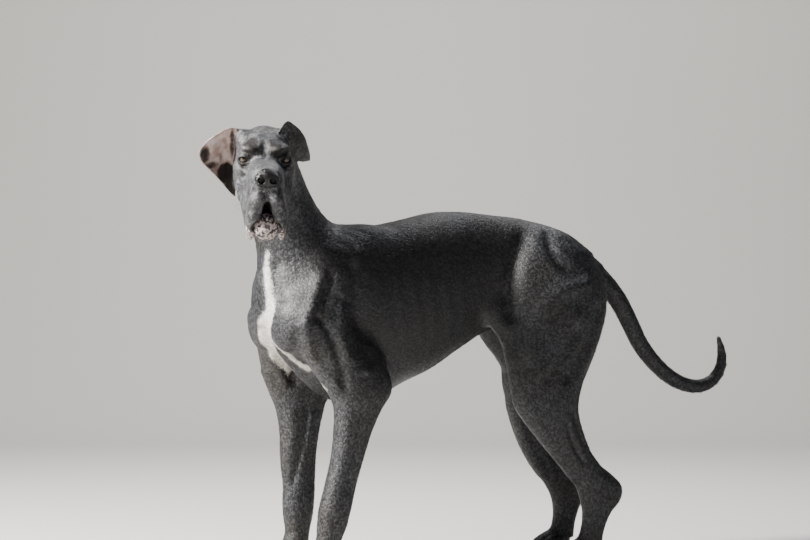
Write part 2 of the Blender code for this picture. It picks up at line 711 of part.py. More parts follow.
def cleaned(bm):
    """Closed triangles with outward normals, and only the largest closed surface."""
    bmesh.ops.remove_doubles(bm, verts=bm.verts, dist=0.00002)
    bmesh.ops.dissolve_degenerate(bm, edges=bm.edges, dist=0.00002)
    holes = [edge for edge in bm.edges if edge.is_boundary]
    if holes:
        bmesh.ops.holes_fill(bm, edges=holes, sides=0)
    bmesh.ops.triangulate(bm, faces=bm.faces)
    seen = set()
    groups = []
    bm.faces.ensure_lookup_table()
    for face in bm.faces:
        if face in seen:
            continue
        seen.add(face)
        group = [face]
        for member in group:
            for edge in member.edges:
                for other in edge.link_faces:
                    if other not in seen:
                        seen.add(other)
                        group.append(other)
        groups.append(group)
    groups.sort(key=len, reverse=True)
    for group in groups[1:]:
        bmesh.ops.delete(bm, geom=group, context="FACES")
    loose = [vertex for vertex in bm.verts if not vertex.link_faces]
    bmesh.ops.delete(bm, geom=loose, context="VERTS")
    bmesh.ops.recalc_face_normals(bm, faces=bm.faces)


def tidy(thing):
    bm = bmesh.new()
    bm.from_mesh(thing.data)
    cleaned(bm)
    bm.to_mesh(thing.data)
    bm.free()


def sliced(thing, planes):
    """Keep the side of each plane that its normal points away from, and close the cut."""
    bm = bmesh.new()
    bm.from_mesh(thing.data)
    for point, normal in planes:
        geometry = bm.verts[:] + bm.edges[:] + bm.faces[:]
        bmesh.ops.bisect_plane(bm, geom=geometry, dist=0.000001, plane_co=point, plane_no=normal, clear_outer=True)
        rim = [edge for edge in bm.edges if edge.is_boundary]
        if rim:
            bmesh.ops.holes_fill(bm, edges=rim, sides=0)
    cleaned(bm)
    bm.to_mesh(thing.data)
    bm.free()


def carve(thing, cutter, operation="DIFFERENCE"):
    """Boolean with a cutter that stays, then keep the largest closed surface."""
    step = thing.modifiers.new("cut", "BOOLEAN")
    step.operation = operation
    step.solver = "EXACT"
    step.object = cutter
    applied(thing)
    tidy(thing)


def removed(thing):
    mesh = thing.data
    bpy.data.objects.remove(thing)
    bpy.data.meshes.remove(mesh)


def swollen(thing, amount):
    """Copy of an object with each vertex moved out along its normal."""
    mesh = thing.data
    count = len(mesh.vertices)
    points = np.empty(count * 3)
    mesh.vertices.foreach_get("co", points)
    normals = np.empty(count * 3)
    mesh.vertex_normals.foreach_get("vector", normals)
    copy = bpy.data.objects.new(thing.name + "_cutter", mesh.copy())
    copy.data.vertices.foreach_set("co", points + normals * amount)
    copy.data.update()
    bpy.context.scene.collection.objects.link(copy)
    return copy


def hollowed(thing, *others):
    """Cut the space of other nodes, with the gap round them, out of a node."""
    for other in others:
        cutter = swollen(other, GAP * 1.3)
        carve(thing, cutter)
        removed(cutter)


def block(name, low, high):
    low, high = np.asarray(low), np.asarray(high)
    corners = [(x, y, z) for x in (low[0], high[0]) for y in (low[1], high[1]) for z in (low[2], high[2])]
    faces = [(0, 1, 3, 2), (4, 6, 7, 5), (0, 4, 5, 1), (2, 3, 7, 6), (0, 2, 6, 4), (1, 5, 7, 3)]
    return new_object(name, corners, faces)


def modelled(name, field, low, high, planes, cell, triangles):
    """One node: the field inside a set of planes, meshed a little past them, thinned and cut."""
    margin = 1.6 * cell
    points = [np.asarray(point, float) for point, normal in planes]
    normals = [np.asarray(normal, float) / np.linalg.norm(normal) for point, normal in planes]

    def bounded(p):
        d = field(p)
        for point, normal in zip(points, normals):
            d = np.maximum(d, (p - point) @ normal - margin)
        return d

    vertices, faces = surface_net(bounded, low, high, cell)
    thing = new_object(name, vertices, faces)
    tidy(thing)
    thinned(thing, triangles)
    sliced(thing, [(point - normal * GAP / 2, normal) for point, normal in zip(points, normals)])
    return thing


def sphere(name, centre, radius, axes, rings=9, segments=14):
    """Closed ball with its poles along the first axis."""
    points = [centre + axes[0] * radius]
    for ring in range(1, rings):
        a = math.pi * ring / rings
        for segment in range(segments):
            b = 2 * math.pi * segment / segments
            across = axes[1] * math.cos(b) + axes[2] * math.sin(b)
            points.append(centre + radius * (math.cos(a) * axes[0] + math.sin(a) * across))
    points.append(centre - axes[0] * radius)
    faces = []
    last = len(points) - 1
    for segment in range(segments):
        after = (segment + 1) % segments
        faces.append((0, 1 + segment, 1 + after))
        faces.append((last, last - segments + after, last - segments + segment))
        for ring in range(rings - 2):
            a, b = 1 + ring * segments, 1 + (ring + 1) * segments
            faces.append((a + segment, b + segment, b + after, a + after))
    thing = new_object(name, points, faces)
    tidy(thing)
    return thing


def claw(name, root, axes):
    """Curved cone that points forward and down from a toe."""
    rings, segments = 4, 6
    forward, left, up = axes
    points = []
    for ring in range(rings):
        t = ring / (rings - 1)
        angle = math.radians(12 + 38 * t)
        along = CLAW_LENGTH * (t - 0.30)
        centre = root + forward * along * math.cos(angle) - up * (along * math.sin(angle) + 0.001 * t)
        radius = CLAW_RADIUS * (1 - 0.80 * t**1.3)
        for segment in range(segments):
            b = 2 * math.pi * segment / segments
            tilt = up * math.cos(angle) + forward * math.sin(angle)
            points.append(centre + radius * (0.75 * left * math.cos(b) + tilt * math.sin(b)))
    faces = []
    for ring in range(rings - 1):
        for segment in range(segments):
            a, after = ring * segments, (segment + 1) % segments
            faces.append((a + segment, a + after, a + segments + after, a + segments + segment))
    faces.append(tuple(range(segments))[::-1])
    faces.append(tuple((rings - 1) * segments + segment for segment in range(segments)))
    thing = new_object(name, points, faces)
    tidy(thing)
    return thing


def surfaced(thing, name, colour, roughness):
    material = bpy.data.materials.new(name)
    material.use_nodes = True
    shader = material.node_tree.nodes["Principled BSDF"]
    shader.inputs["Base Color"].default_value = (*colour, 1.0)
    shader.inputs["Roughness"].default_value = roughness
    thing.data.materials.clear()
    thing.data.materials.append(material)
    thing.data.shade_smooth()
    thing.data.set_sharp_from_angle(angle=math.radians(50))


COAT = (0.075, 0.085, 0.105)
LEATHER = (0.012, 0.012, 0.014)
EYE = (0.30, 0.17, 0.06)
HORN = (0.020, 0.018, 0.017)

HEAD_CUT = ((0.446, 0.055, 0.955), (0.45, 0.77, 0.46))
NECK_CUT = ((0.235, 0.0, 0.830), (0.535, 0.0, 0.845))
LEG_CUT = 0.404
THIGH_CUT = 0.562
THIGH_FRONT = -0.128
KNEE_CUT = 0.400
ANKLE_CUT = 0.205
TAIL_CUTS = ((3, "root"), (7, "middle"), (10, "tip"))


def build():
    for thing in list(bpy.data.objects):
        bpy.data.objects.remove(thing)

    nodes = {}
    body = body_clay()
    head_axes = turned(HEAD_YAW, HEAD_PITCH)
    head = placed(head_clay(), EYE_LINE, head_axes)
    jaw = placed(jaw_clay(), EYE_LINE, head_axes)
    upward = np.array([0.0, 0.0, 1.0])

    def all_over(p):
        d = body(p)
        return joined(d, head[0](p), 0.045)

    flip = lambda plane: (plane[0], tuple(-value for value in plane[1]))

    # Trunk
    torso = modelled(
        "torso", body, (-0.52, -0.20, 0.34), (0.50, 0.20, 0.90),
        [NECK_CUT, ((0, 0, LEG_CUT), (0, 0, -1))], 0.0115, 3350,
    )
    below = block("below", (-0.60, -0.3, 0.30), (THIGH_FRONT, 0.3, THIGH_CUT + GAP / 2))
    carve(torso, below)
    removed(below)
    nodes["torso"] = torso

    nodes["neck"] = modelled(
        "neck", all_over, (0.15, -0.16, 0.62), (0.58, 0.20, 1.08),
        [flip(NECK_CUT), HEAD_CUT], 0.0100, 620,
    )

    # Legs
    for side, name in ((1, "left"), (-1, "right")):
        y = sorted((side * 0.03, side * 0.20))
        paw, origin, axes = paw_shape(name + "_fore")

        def foreleg(p, paw=paw):
            return joined(body(p), paw[0](p), 0.012)

        nodes["foreleg_" + name] = modelled(
            "foreleg_" + name, foreleg, (0.12, y[0], WRIST_CUT - 0.02), (0.42, y[1], LEG_CUT + 0.02),
            [((0, 0, LEG_CUT), upward), ((0, 0, WRIST_CUT), -upward)], 0.0080, 480,
        )
        nodes["forepaw_" + name] = modelled(
            "forepaw_" + name, foreleg, (0.24, y[0], -0.01), (0.45, y[1], WRIST_CUT + 0.02),
            [((0, 0, WRIST_CUT), upward), ((0, 0, GAP / -2), -upward)], 0.0040, 430,
        )
        paw, origin, axes = paw_shape(name + "_hind")

        def hindleg(p, paw=paw):
            return joined(body(p), paw[0](p), 0.012)

        y = sorted((side * 0.004, side * 0.20))
        nodes["thigh_" + name] = modelled(
            "thigh_" + name, hindleg, (-0.56, y[0], KNEE_CUT - 0.02), (THIGH_FRONT, y[1], THIGH_CUT + 0.02),
            [((0, 0, THIGH_CUT), upward), ((0, 0, KNEE_CUT), -upward), ((THIGH_FRONT, 0, 0), (1, 0, 0))], 0.0095, 400,
        )
        nodes["shank_" + name] = modelled(
            "shank_" + name, hindleg, (-0.56, y[0], ANKLE_CUT - 0.02), (-0.12, y[1], KNEE_CUT + 0.02),
            [((0, 0, KNEE_CUT), upward), ((0, 0, ANKLE_CUT), -upward)], 0.0080, 380,
        )
        nodes["hock_" + name] = modelled(
            "hock_" + name, hindleg, (-0.56, y[0], HOCK_CUT - 0.02), (-0.28, y[1], ANKLE_CUT + 0.02),
            [((0, 0, ANKLE_CUT), upward), ((0, 0, HOCK_CUT), -upward)], 0.0070, 300,
        )
        nodes["hindpaw_" + name] = modelled(
            "hindpaw_" + name, hindleg, (-0.50, y[0], -0.01), (-0.26, y[1], HOCK_CUT + 0.02),
            [((0, 0, HOCK_CUT), upward), ((0, 0, GAP / -2), -upward)], 0.0040, 400,
        )
        for end in ("fore", "hind"):
            paw, origin, axes = paw_shape(name + "_" + end)
            length, width = PAWS[name + "_" + end][1]
            for number, place in enumerate(claw_places(length, width)):
                key = "claw_" + name + "_" + end + "_" + "abcd"[number]
                nodes[key] = claw(key, origin + np.array(place) @ axes, axes)
                hollowed(nodes[end + "paw_" + name], nodes[key])

    # Tail in three lengths
    tail = Clay().add(hose(TAIL, count=40), 0.0)
    low, high = tail.box()
    path = TAIL[:, :3]
    directions = np.gradient(path, axis=0)
    cuts = [(path[place], directions[place]) for place, name in TAIL_CUTS]
    for number, (place, name) in enumerate(TAIL_CUTS):
        ends = [(cuts[number][0], -cuts[number][1])]
        bounds = [path[place : (TAIL_CUTS[number + 1][0] + 1 if number < 2 else None)]]
        if number < 2:
            ends.append((cuts[number + 1][0], cuts[number + 1][1]))
        stretch = bounds[0]
        reach = 0.05
        low = stretch.min(axis=0) - reach
        high = stretch.max(axis=0) + reach
        nodes["tail_" + name] = modelled("tail_" + name, tail, low, high, ends, 0.0060, (180, 210, 170)[number])
    behind = cuts[0][1] / np.linalg.norm(cuts[0][1])
    lift = np.cross(behind, (0.0, 1.0, 0.0))
    start = cuts[0][0] - behind * GAP / 2
    stub = block("stub", (0, -0.05, -0.05), (0.12, 0.05, 0.05))
    turn = np.array([behind, (0.0, 1.0, 0.0), lift])
    points = np.array([vertex.co[:] for vertex in stub.data.vertices]) @ turn + start
    stub.data.vertices.foreach_set("co", points.ravel())
    stub.data.update()
    tidy(stub)
    carve(nodes["torso"], stub)
    removed(stub)

    # Head
    low, high = np.minimum(head[1], jaw[1]) - 0.01, np.maximum(head[2], jaw[2]) + 0.01
    skull = modelled("head", all_over, low, high, [flip(HEAD_CUT)], 0.0040, 3000)
    nodes["head"] = skull
    nodes["jaw"] = modelled("jaw", Clay().add(jaw, 0.0), jaw[1] - 0.01, jaw[2] + 0.01, [], 0.0045, 380)
    for side, name in ((1, "left"), (-1, "right")):
        centre = EYE_LINE + np.array(EYE_SEAT) * (1, side, 1) @ head_axes
        gaze = turned(HEAD_YAW + side * 0.15, 0.05)
        nodes["eye_" + name] = sphere("eye_" + name, centre, EYE_RADIUS, gaze)
        points, faces = ear_mesh(LEFT_EAR if side > 0 else RIGHT_EAR)
        ear = new_object("ear_" + name, points @ head_axes + EYE_LINE, faces)
        tidy(ear)
        nodes["ear_" + name] = ear
    nose = placed(nose_clay(), EYE_LINE, head_axes)
    back = EYE_LINE + np.array((0.130, 0, 0)) @ head_axes
    nodes["nose"] = modelled(
        "nose", Clay().add(nose, 0.0), nose[1] - 0.006, nose[2] + 0.006, [(back, -head_axes[0])], 0.0021, 340,
    )
    hollowed(skull, nodes["jaw"], nodes["nose"], nodes["eye_left"], nodes["eye_right"])
    for name in ("left", "right"):
        hollowed(nodes["ear_" + name], skull)

    # Centre the model over the origin
    corners = []
    for thing in nodes.values():
        points = np.array([vertex.co[:] for vertex in thing.data.vertices])
        corners += [points.min(axis=0), points.max(axis=0)]
    low, high = np.min(corners, axis=0), np.max(corners, axis=0)
    shift = np.array([-(low[0] + high[0]) / 2, -(low[1] + high[1]) / 2, -low[2]])
    print("SHIFT", shift.tolist(), "SIZE", (high - low).tolist())
    total = 0
    for name, thing in nodes.items():
        count = len(thing.data.vertices)
        points = np.empty(count * 3)
        thing.data.vertices.foreach_get("co", points)
        thing.data.vertices.foreach_set("co", (points.reshape(-1, 3) + shift).ravel())
        thing.data.update()
        if name.startswith("eye"):
            surfaced(thing, name, EYE, 0.08)
        elif name == "nose":
            surfaced(thing, name, LEATHER, 0.35)
        elif name.startswith("claw"):
            surfaced(thing, name, HORN, 0.35)
        else:
            surfaced(thing, name, COAT, 0.5)
        total += len(thing.data.polygons)
        print("NODE", name, len(thing.data.polygons))
    print("TOTAL", total)


build()
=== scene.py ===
import math

import bmesh
import bpy
import numpy as np
from mathutils import Matrix, Vector


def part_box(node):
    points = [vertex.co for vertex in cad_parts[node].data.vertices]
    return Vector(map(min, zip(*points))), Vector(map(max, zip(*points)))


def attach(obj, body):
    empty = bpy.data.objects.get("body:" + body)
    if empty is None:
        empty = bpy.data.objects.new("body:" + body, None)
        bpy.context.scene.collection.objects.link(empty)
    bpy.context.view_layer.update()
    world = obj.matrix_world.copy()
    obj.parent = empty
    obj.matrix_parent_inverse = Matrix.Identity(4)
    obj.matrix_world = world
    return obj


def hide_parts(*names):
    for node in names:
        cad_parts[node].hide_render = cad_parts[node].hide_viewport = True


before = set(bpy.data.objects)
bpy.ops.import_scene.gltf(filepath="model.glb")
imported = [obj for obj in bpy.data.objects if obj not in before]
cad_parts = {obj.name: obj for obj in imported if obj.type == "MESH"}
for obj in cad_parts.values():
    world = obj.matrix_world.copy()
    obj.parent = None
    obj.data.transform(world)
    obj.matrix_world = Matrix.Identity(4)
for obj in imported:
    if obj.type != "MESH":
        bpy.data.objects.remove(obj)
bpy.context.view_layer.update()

# The dog is modelled in its own place and moved to the frame's: metres, +X to the chest, +Y to its left
HEAD_YAW = math.radians(70.9)
HEAD_PITCH = math.radians(12.0)
EYE_RADIUS = 0.0125
EYE_LINE = np.array([0.490, 0.160, 0.978])
GAZE_YAW = math.radians(65.0)
EYE_SEAT = np.array([-0.0040, 0.04575, 0.0])
SKIN_DEPTH = 0.0008

# Camera, in the dog's own place
CAMERA_YAW = math.radians(25.0)
CAMERA_DISTANCE = 5.5
CAMERA_SIDE = -0.0602
CAMERA_HEIGHT = 0.7277
LENS = 101.44

# Trunk, cut across X: place, top line, underline, half width
TRUNK = np.array([
    (-0.455, 0.738, 0.680, 0.025),
    (-0.430, 0.758, 0.630, 0.045),
    (-0.390, 0.790, 0.585, 0.065),
    (-0.330, 0.828, 0.568, 0.082),
    (-0.250, 0.852, 0.572, 0.088),
    (-0.160, 0.862, 0.582, 0.086),
    (-0.080, 0.869, 0.541, 0.096),
    (0.000, 0.866, 0.492, 0.114),
    (0.080, 0.848, 0.457, 0.128),
    (0.150, 0.834, 0.425, 0.132),
    (0.220, 0.824, 0.413, 0.127),
    (0.290, 0.795, 0.435, 0.112),
    (0.350, 0.755, 0.488, 0.094),
    (0.400, 0.720, 0.550, 0.072),
    (0.432, 0.690, 0.610, 0.040),
])

# Limbs, cut across Z: height, front and rear edge of the left one, front and rear edge of the right
# one, distance from the midplane, half width
FORELEGS = np.array([
    (0.620, 0.400, 0.270, 0.418, 0.300, 0.094, 0.028),
    (0.560, 0.372, 0.212, 0.410, 0.245, 0.102, 0.038),
    (0.500, 0.336, 0.170, 0.398, 0.218, 0.108, 0.043),
    (0.450, 0.310, 0.171, 0.377, 0.220, 0.112, 0.042),
    (0.405, 0.297, 0.184, 0.357, 0.230, 0.112, 0.040),
    (0.350, 0.297, 0.207, 0.345, 0.244, 0.110, 0.036),
    (0.290, 0.305, 0.226, 0.342, 0.253, 0.109, 0.031),
    (0.225, 0.321, 0.245, 0.337, 0.257, 0.108, 0.029),
    (0.170, 0.335, 0.258, 0.338, 0.260, 0.107, 0.033),
    (0.140, 0.338, 0.266, 0.336, 0.264, 0.107, 0.033),
    (0.100, 0.342, 0.282, 0.332, 0.272, 0.107, 0.029),
    (0.060, 0.362, 0.290, 0.346, 0.276, 0.107, 0.032),
])
HINDLEGS = np.array([
    (0.760, -0.235, -0.400, -0.240, -0.405, 0.055, 0.040),
    (0.700, -0.195, -0.432, -0.206, -0.438, 0.072, 0.050),
    (0.640, -0.176, -0.438, -0.200, -0.446, 0.080, 0.053),
    (0.560, -0.167, -0.416, -0.224, -0.440, 0.086, 0.052),
    (0.500, -0.164, -0.388, -0.245, -0.436, 0.092, 0.048),
    (0.450, -0.168, -0.362, -0.248, -0.426, 0.097, 0.044),
    (0.395, -0.181, -0.350, -0.262, -0.418, 0.099, 0.039),
    (0.335, -0.231, -0.364, -0.281, -0.408, 0.099, 0.033),
    (0.283, -0.279, -0.392, -0.304, -0.416, 0.099, 0.028),
    (0.240, -0.318, -0.430, -0.330, -0.442, 0.099, 0.025),
    (0.200, -0.347, -0.472, -0.360, -0.484, 0.099, 0.026),
    (0.170, -0.358, -0.472, -0.380, -0.488, 0.099, 0.026),
    (0.130, -0.366, -0.440, -0.392, -0.466, 0.099, 0.024),
    (0.090, -0.360, -0.422, -0.390, -0.452, 0.099, 0.024),
    (0.055, -0.345, -0.415, -0.377, -0.447, 0.099, 0.028),
])
LEFT_COLUMNS, RIGHT_COLUMNS = [0, 1, 2, 5, 6], [0, 3, 4, 5, 6]
LEFT_FORELEG, RIGHT_FORELEG = FORELEGS[:, LEFT_COLUMNS], FORELEGS[:, RIGHT_COLUMNS]
LEFT_HINDLEG, RIGHT_HINDLEG = HINDLEGS[:, LEFT_COLUMNS], HINDLEGS[:, RIGHT_COLUMNS]
# How far back the right haunch stands, and how far the lines move on the right legs
HIND_STEP = 0.024
FORE_MOVE = 0.045
HIND_MOVE = -0.070

# Neck: centre, half depth, half width
NECK = np.array([
    (0.225, 0.000, 0.665, 0.150, 0.100),
    (0.317, 0.000, 0.735, 0.117, 0.090),
    (0.361, 0.004, 0.810, 0.089, 0.076),
    (0.396, 0.015, 0.880, 0.077, 0.067),
    (0.424, 0.032, 0.945, 0.070, 0.060),
    (0.438, 0.048, 0.985, 0.058, 0.052),
])

# Tail: centre and radius
TAIL = np.array([
    (-0.395, 0.000, 0.752, 0.036),
    (-0.438, 0.000, 0.728, 0.031),
    (-0.480, 0.000, 0.698, 0.026),
    (-0.520, 0.000, 0.656, 0.0235),
    (-0.556, 0.000, 0.597, 0.0220),
    (-0.586, 0.000, 0.543, 0.0210),
    (-0.622, 0.000, 0.500, 0.0200),
    (-0.664, 0.000, 0.464, 0.0190),
    (-0.712, 0.000, 0.439, 0.0180),
    (-0.760, 0.000, 0.432, 0.0170),
    (-0.802, 0.000, 0.447, 0.0155),
    (-0.826, 0.000, 0.480, 0.0140),
    (-0.829, 0.000, 0.518, 0.0115),
    (-0.820, 0.000, 0.552, 0.0060),
])

# Head, from the point between the eyes: forward, left, up. Muzzle: place, top, bottom, half width.
# Lip and jaw: centre, half depth, half width
MUZZLE = np.array([
    (-0.030, 0.000, -0.100, 0.052),
    (0.010, 0.003, -0.098, 0.0465),
    (0.045, 0.004, -0.100, 0.0415),
    (0.085, 0.005, -0.102, 0.0400),
    (0.118, 0.005, -0.098, 0.0375),
    (0.138, 0.001, -0.086, 0.0320),
    (0.149, -0.010, -0.070, 0.0220),
])
LIP = [
    (0.133, 0.022, -0.072, 0.020, 0.0160),
    (0.124, 0.0285, -0.100, 0.026, 0.0170),
    (0.104, 0.0330, -0.124, 0.032, 0.0135),
    (0.078, 0.0350, -0.138, 0.033, 0.0112),
    (0.045, 0.0365, -0.134, 0.030, 0.0112),
    (0.010, 0.0385, -0.112, 0.028, 0.0125),
    (-0.020, 0.0400, -0.092, 0.028, 0.0150),
]
JAW_ROWS = [
    (0.000, 0, -0.114, 0.018, 0.026),
    (0.020, 0, -0.119, 0.019, 0.027),
    (0.050, 0, -0.127, 0.019, 0.0250),
    (0.086, 0, -0.133, 0.020, 0.0235),
]

# Ears in the head's frame, as the four edges of a leaf: root, upper edge, free rim, lower edge
RIGHT_EAR = {
    "root": [(-0.074, -0.042, 0.052), (-0.080, -0.050, 0.020), (-0.085, -0.058, -0.022)],
    "upper": [(-0.074, -0.042, 0.052), (-0.071, -0.077, 0.058), (-0.067, -0.107, 0.0435),
              (-0.062, -0.135, 0.0220), (-0.060, -0.1455, 0.0060)],
    "rim": [(-0.060, -0.1455, 0.0060), (-0.057, -0.141, -0.0120), (-0.057, -0.125, -0.0310),
            (-0.060, -0.1025, -0.0550), (-0.065, -0.081, -0.0800), (-0.070, -0.066, -0.0960)],
    "lower": [(-0.085, -0.058, -0.022), (-0.082, -0.066, -0.050), (-0.070, -0.066, -0.0960)],
    "cup": -0.024,
}
LEFT_EAR = {
    "root": [(-0.056, 0.034, 0.052), (-0.068, 0.046, 0.030), (-0.085, 0.057, 0.006)],
    "upper": [(-0.056, 0.034, 0.052), (-0.062, 0.052, 0.0745), (-0.082, 0.070, 0.064),
              (-0.112, 0.0945, 0.034), (-0.138, 0.1055, 0.004)],
    "rim": [(-0.138, 0.1055, 0.004), (-0.150, 0.109, -0.011), (-0.160, 0.1105, -0.0275)],
    "lower": [(-0.085, 0.057, 0.006), (-0.099, 0.074, -0.011), (-0.120, 0.088, -0.0225),
              (-0.160, 0.1105, -0.0275)],
    "cup": 0.012,
}
EAR_THICKNESS = 0.0042

# Paws: origin on the floor, length and width. Toes: place across in pitches, and how far it is set back
PAW_WIDTH = 0.088
PAWS = {
    "left_fore": ((0.352, 0.108, 0.0), 0.118, PAW_WIDTH),
    "right_fore": ((0.335, -0.108, 0.0), 0.118, PAW_WIDTH),
    "left_hind": ((-0.352, 0.100, 0.0), 0.108, 0.080),
    "right_hind": ((-0.382, -0.100, 0.0), 0.108, 0.080),
}
PAW_TURN = math.radians(4.0)
TOE_PITCH = 0.0205
TOES = ((-1.5, 0.012), (-0.5, 0.0), (0.5, 0.0), (1.5, 0.012))
CLAW_LENGTH = 0.017
CLAW_RADIUS = 0.0050

# Where the skin's nets part: above the paws, on the tail and across the neck, with the gap that is sewn
PAW_PLANE = 0.112
TAIL_PLANE = -0.500
HEAD_CUT = (np.array([0.412, 0.024, 0.915]), np.array([0.30, 0.65, 0.70]) / 1.00125)
SEAM = 0.004

BODY_CELL = 0.0085
TAIL_CELL = 0.0042
HEAD_CELL = 0.0017
PAW_CELL = 0.0036
COARSER = 1.0
NOSE_CELL = 0.0012
HEAD_TRIANGLES = 92000

# The coat: the seed of its draws, how many tufts and hairs, the most in one piece, and a tuft's measures
COAT_SEED = 41
COAT_SHARE = 1.0
TUFT_COUNT = 150000
TUFTS_PER_PIECE = 45000
FRINGE_COUNT = 15000
EDGE_HAIRS = 700
TUFT_LENGTH = 0.0085
TUFT_WIDTH = 0.0016
FRINGE_WIDTH = 0.0012
TUFT_SINK = 0.0003
TUFT_LEAN = 0.22

# Lines of the muscles on each flank: points (x, z), half width of the line, depth (minus) or height
FLANK_LINES = [
    ([(-0.235, 0.830), (-0.184, 0.747), (-0.169, 0.656), (-0.166, 0.590)], 0.020, -0.0060),
    ([(-0.398, 0.700), (-0.320, 0.690), (-0.242, 0.640), (-0.208, 0.572), (-0.196, 0.488)], 0.020, 0.0050),
    ([(-0.288, 0.835), (-0.275, 0.770), (-0.318, 0.722), (-0.372, 0.706)], 0.016, -0.0050),
    ([(-0.403, 0.655), (-0.372, 0.577), (-0.325, 0.500), (-0.285, 0.445)], 0.015, -0.0052),
    ([(-0.337, 0.600), (-0.275, 0.520), (-0.232, 0.450)], 0.014, -0.0038),
    ([(-0.345, 0.640), (-0.300, 0.575), (-0.255, 0.505), (-0.215, 0.455)], 0.015, 0.0042),
    ([(-0.195, 0.418), (-0.236, 0.343), (-0.300, 0.263), (-0.352, 0.196)], 0.012, 0.0034),
    ([(-0.322, 0.400), (-0.345, 0.330), (-0.392, 0.262), (-0.432, 0.222)], 0.0085, -0.0050),
    ([(-0.300, 0.372), (-0.322, 0.310), (-0.362, 0.250)], 0.008, -0.0024),
    ([(0.262, 0.770), (0.250, 0.690), (0.246, 0.612), (0.238, 0.540), (0.222, 0.490)], 0.019, -0.0044),
    ([(0.360, 0.638), (0.321, 0.569), (0.296, 0.497), (0.287, 0.441)], 0.011, -0.0042),
    ([(0.384, 0.624), (0.373, 0.549), (0.352, 0.507), (0.323, 0.479), (0.293, 0.437)], 0.011, 0.0036),
    ([(0.404, 0.600), (0.388, 0.545), (0.350, 0.485)], 0.010, -0.0036),
    ([(0.284, 0.660), (0.295, 0.575), (0.280, 0.500)], 0.020, 0.0036),
    ([(0.412, 0.760), (0.422, 0.705), (0.419, 0.650)], 0.008, -0.0030),
    ([(0.322, 0.735), (0.358, 0.665), (0.385, 0.612), (0.400, 0.570)], 0.014, 0.0045),
    ([(0.300, 0.735), (0.340, 0.655), (0.362, 0.600)], 0.011, -0.0035),
    ([(0.232, 0.790), (0.275, 0.720), (0.300, 0.660)], 0.014, 0.0030),
    ([(0.215, 0.560), (0.235, 0.520), (0.240, 0.480)], 0.014, 0.0026),
    ([(0.240, 0.425), (0.251, 0.350), (0.262, 0.280), (0.280, 0.200)], 0.0070, -0.0026),
    ([(0.228, 0.400), (0.242, 0.320), (0.262, 0.240)], 0.0060, 0.0016),
    ([(0.285, 0.420), (0.282, 0.340), (0.292, 0.270), (0.312, 0.190)], 0.0120, 0.0018),
]
FLANK_RELIEF = 1.7
RIBS = [0.185, 0.140, 0.095, 0.050, 0.005, -0.040]
RIB_WIDTH = 0.011
RIB_RELIEF = 0.0012

# Lines on the head, in its frame: points, half width, depth (minus) or height
HEAD_LINES = [
    ([(0.006, 0.016, 0.016), (0.004, 0.030, 0.027), (-0.006, 0.046, 0.031), (-0.020, 0.058, 0.024)],
     0.0065, 0.0026),
    ([(-0.004, 0.020, 0.040), (-0.012, 0.036, 0.046), (-0.030, 0.050, 0.044)], 0.0055, -0.0020),
    ([(0.006, 0.012, 0.028), (-0.006, 0.014, 0.046), (-0.024, 0.017, 0.056)], 0.0045, 0.0016),
    ([(0.016, 0.030, -0.006), (0.014, 0.040, -0.0155), (0.002, 0.054, -0.0150), (-0.010, 0.062, -0.006)],
     0.0034, -0.0022),
    ([(0.020, 0.034, -0.018), (0.012, 0.046, -0.028), (-0.006, 0.060, -0.026)], 0.0050, 0.0024),
    ([(0.022, 0.040, -0.030), (0.008, 0.052, -0.040), (-0.014, 0.064, -0.040)], 0.0050, -0.0022),
    ([(0.030, 0.040, -0.034), (0.022, 0.047, -0.060), (0.016, 0.050, -0.088), (0.004, 0.050, -0.112)],
     0.0065, -0.0030),
    ([(0.052, 0.038, -0.036), (0.046, 0.045, -0.062), (0.040, 0.047, -0.092), (0.026, 0.048, -0.122)],
     0.0070, 0.0026),
    ([(0.085, 0.039, -0.048), (0.074, 0.044, -0.080), (0.060, 0.046, -0.112), (0.048, 0.046, -0.140)],
     0.0050, -0.0020),
    ([(0.122, 0.036, -0.050), (0.108, 0.042, -0.078), (0.094, 0.045, -0.108), (0.084, 0.045, -0.140)],
     0.0050, -0.0018),
    ([(0.137, 0.024, -0.036), (0.134, 0.032, -0.052), (0.122, 0.038, -0.070)], 0.0040, -0.0022),
    ([(-0.010, 0.062, -0.050), (-0.016, 0.062, -0.078), (-0.024, 0.056, -0.104)], 0.0080, 0.0030),
    ([(-0.040, 0.066, -0.040), (-0.046, 0.062, -0.075), (-0.052, 0.054, -0.100)], 0.0070, -0.0026),
]

# Wrinkles of the chin, in the same way
CHIN_LINES = [
    ([(0.132, 0.008, -0.112), (0.138, 0.014, -0.126), (0.138, 0.012, -0.142)], 0.0032, -0.0016),
    ([(0.128, 0.020, -0.116), (0.132, 0.025, -0.132), (0.128, 0.024, -0.148)], 0.0034, -0.0016),
    ([(0.140, 0.000, -0.130), (0.139, 0.004, -0.146), (0.130, 0.010, -0.156)], 0.0030, -0.0012),
]

# Folds of the right ear, as seen from the front: left, up
EAR_LINES = [
    ([(-0.066, 0.030), (-0.084, 0.020), (-0.100, -0.002), (-0.102, -0.022)], 0.0050, 0.0030),
    ([(-0.068, 0.004), (-0.080, -0.006), (-0.088, -0.022), (-0.092, -0.040)], 0.0045, 0.0026),
    ([(-0.088, 0.038), (-0.108, 0.024), (-0.124, 0.004)], 0.0050, 0.0020),
    ([(-0.112, -0.002), (-0.112, -0.020), (-0.102, -0.038)], 0.0040, -0.0010),
]

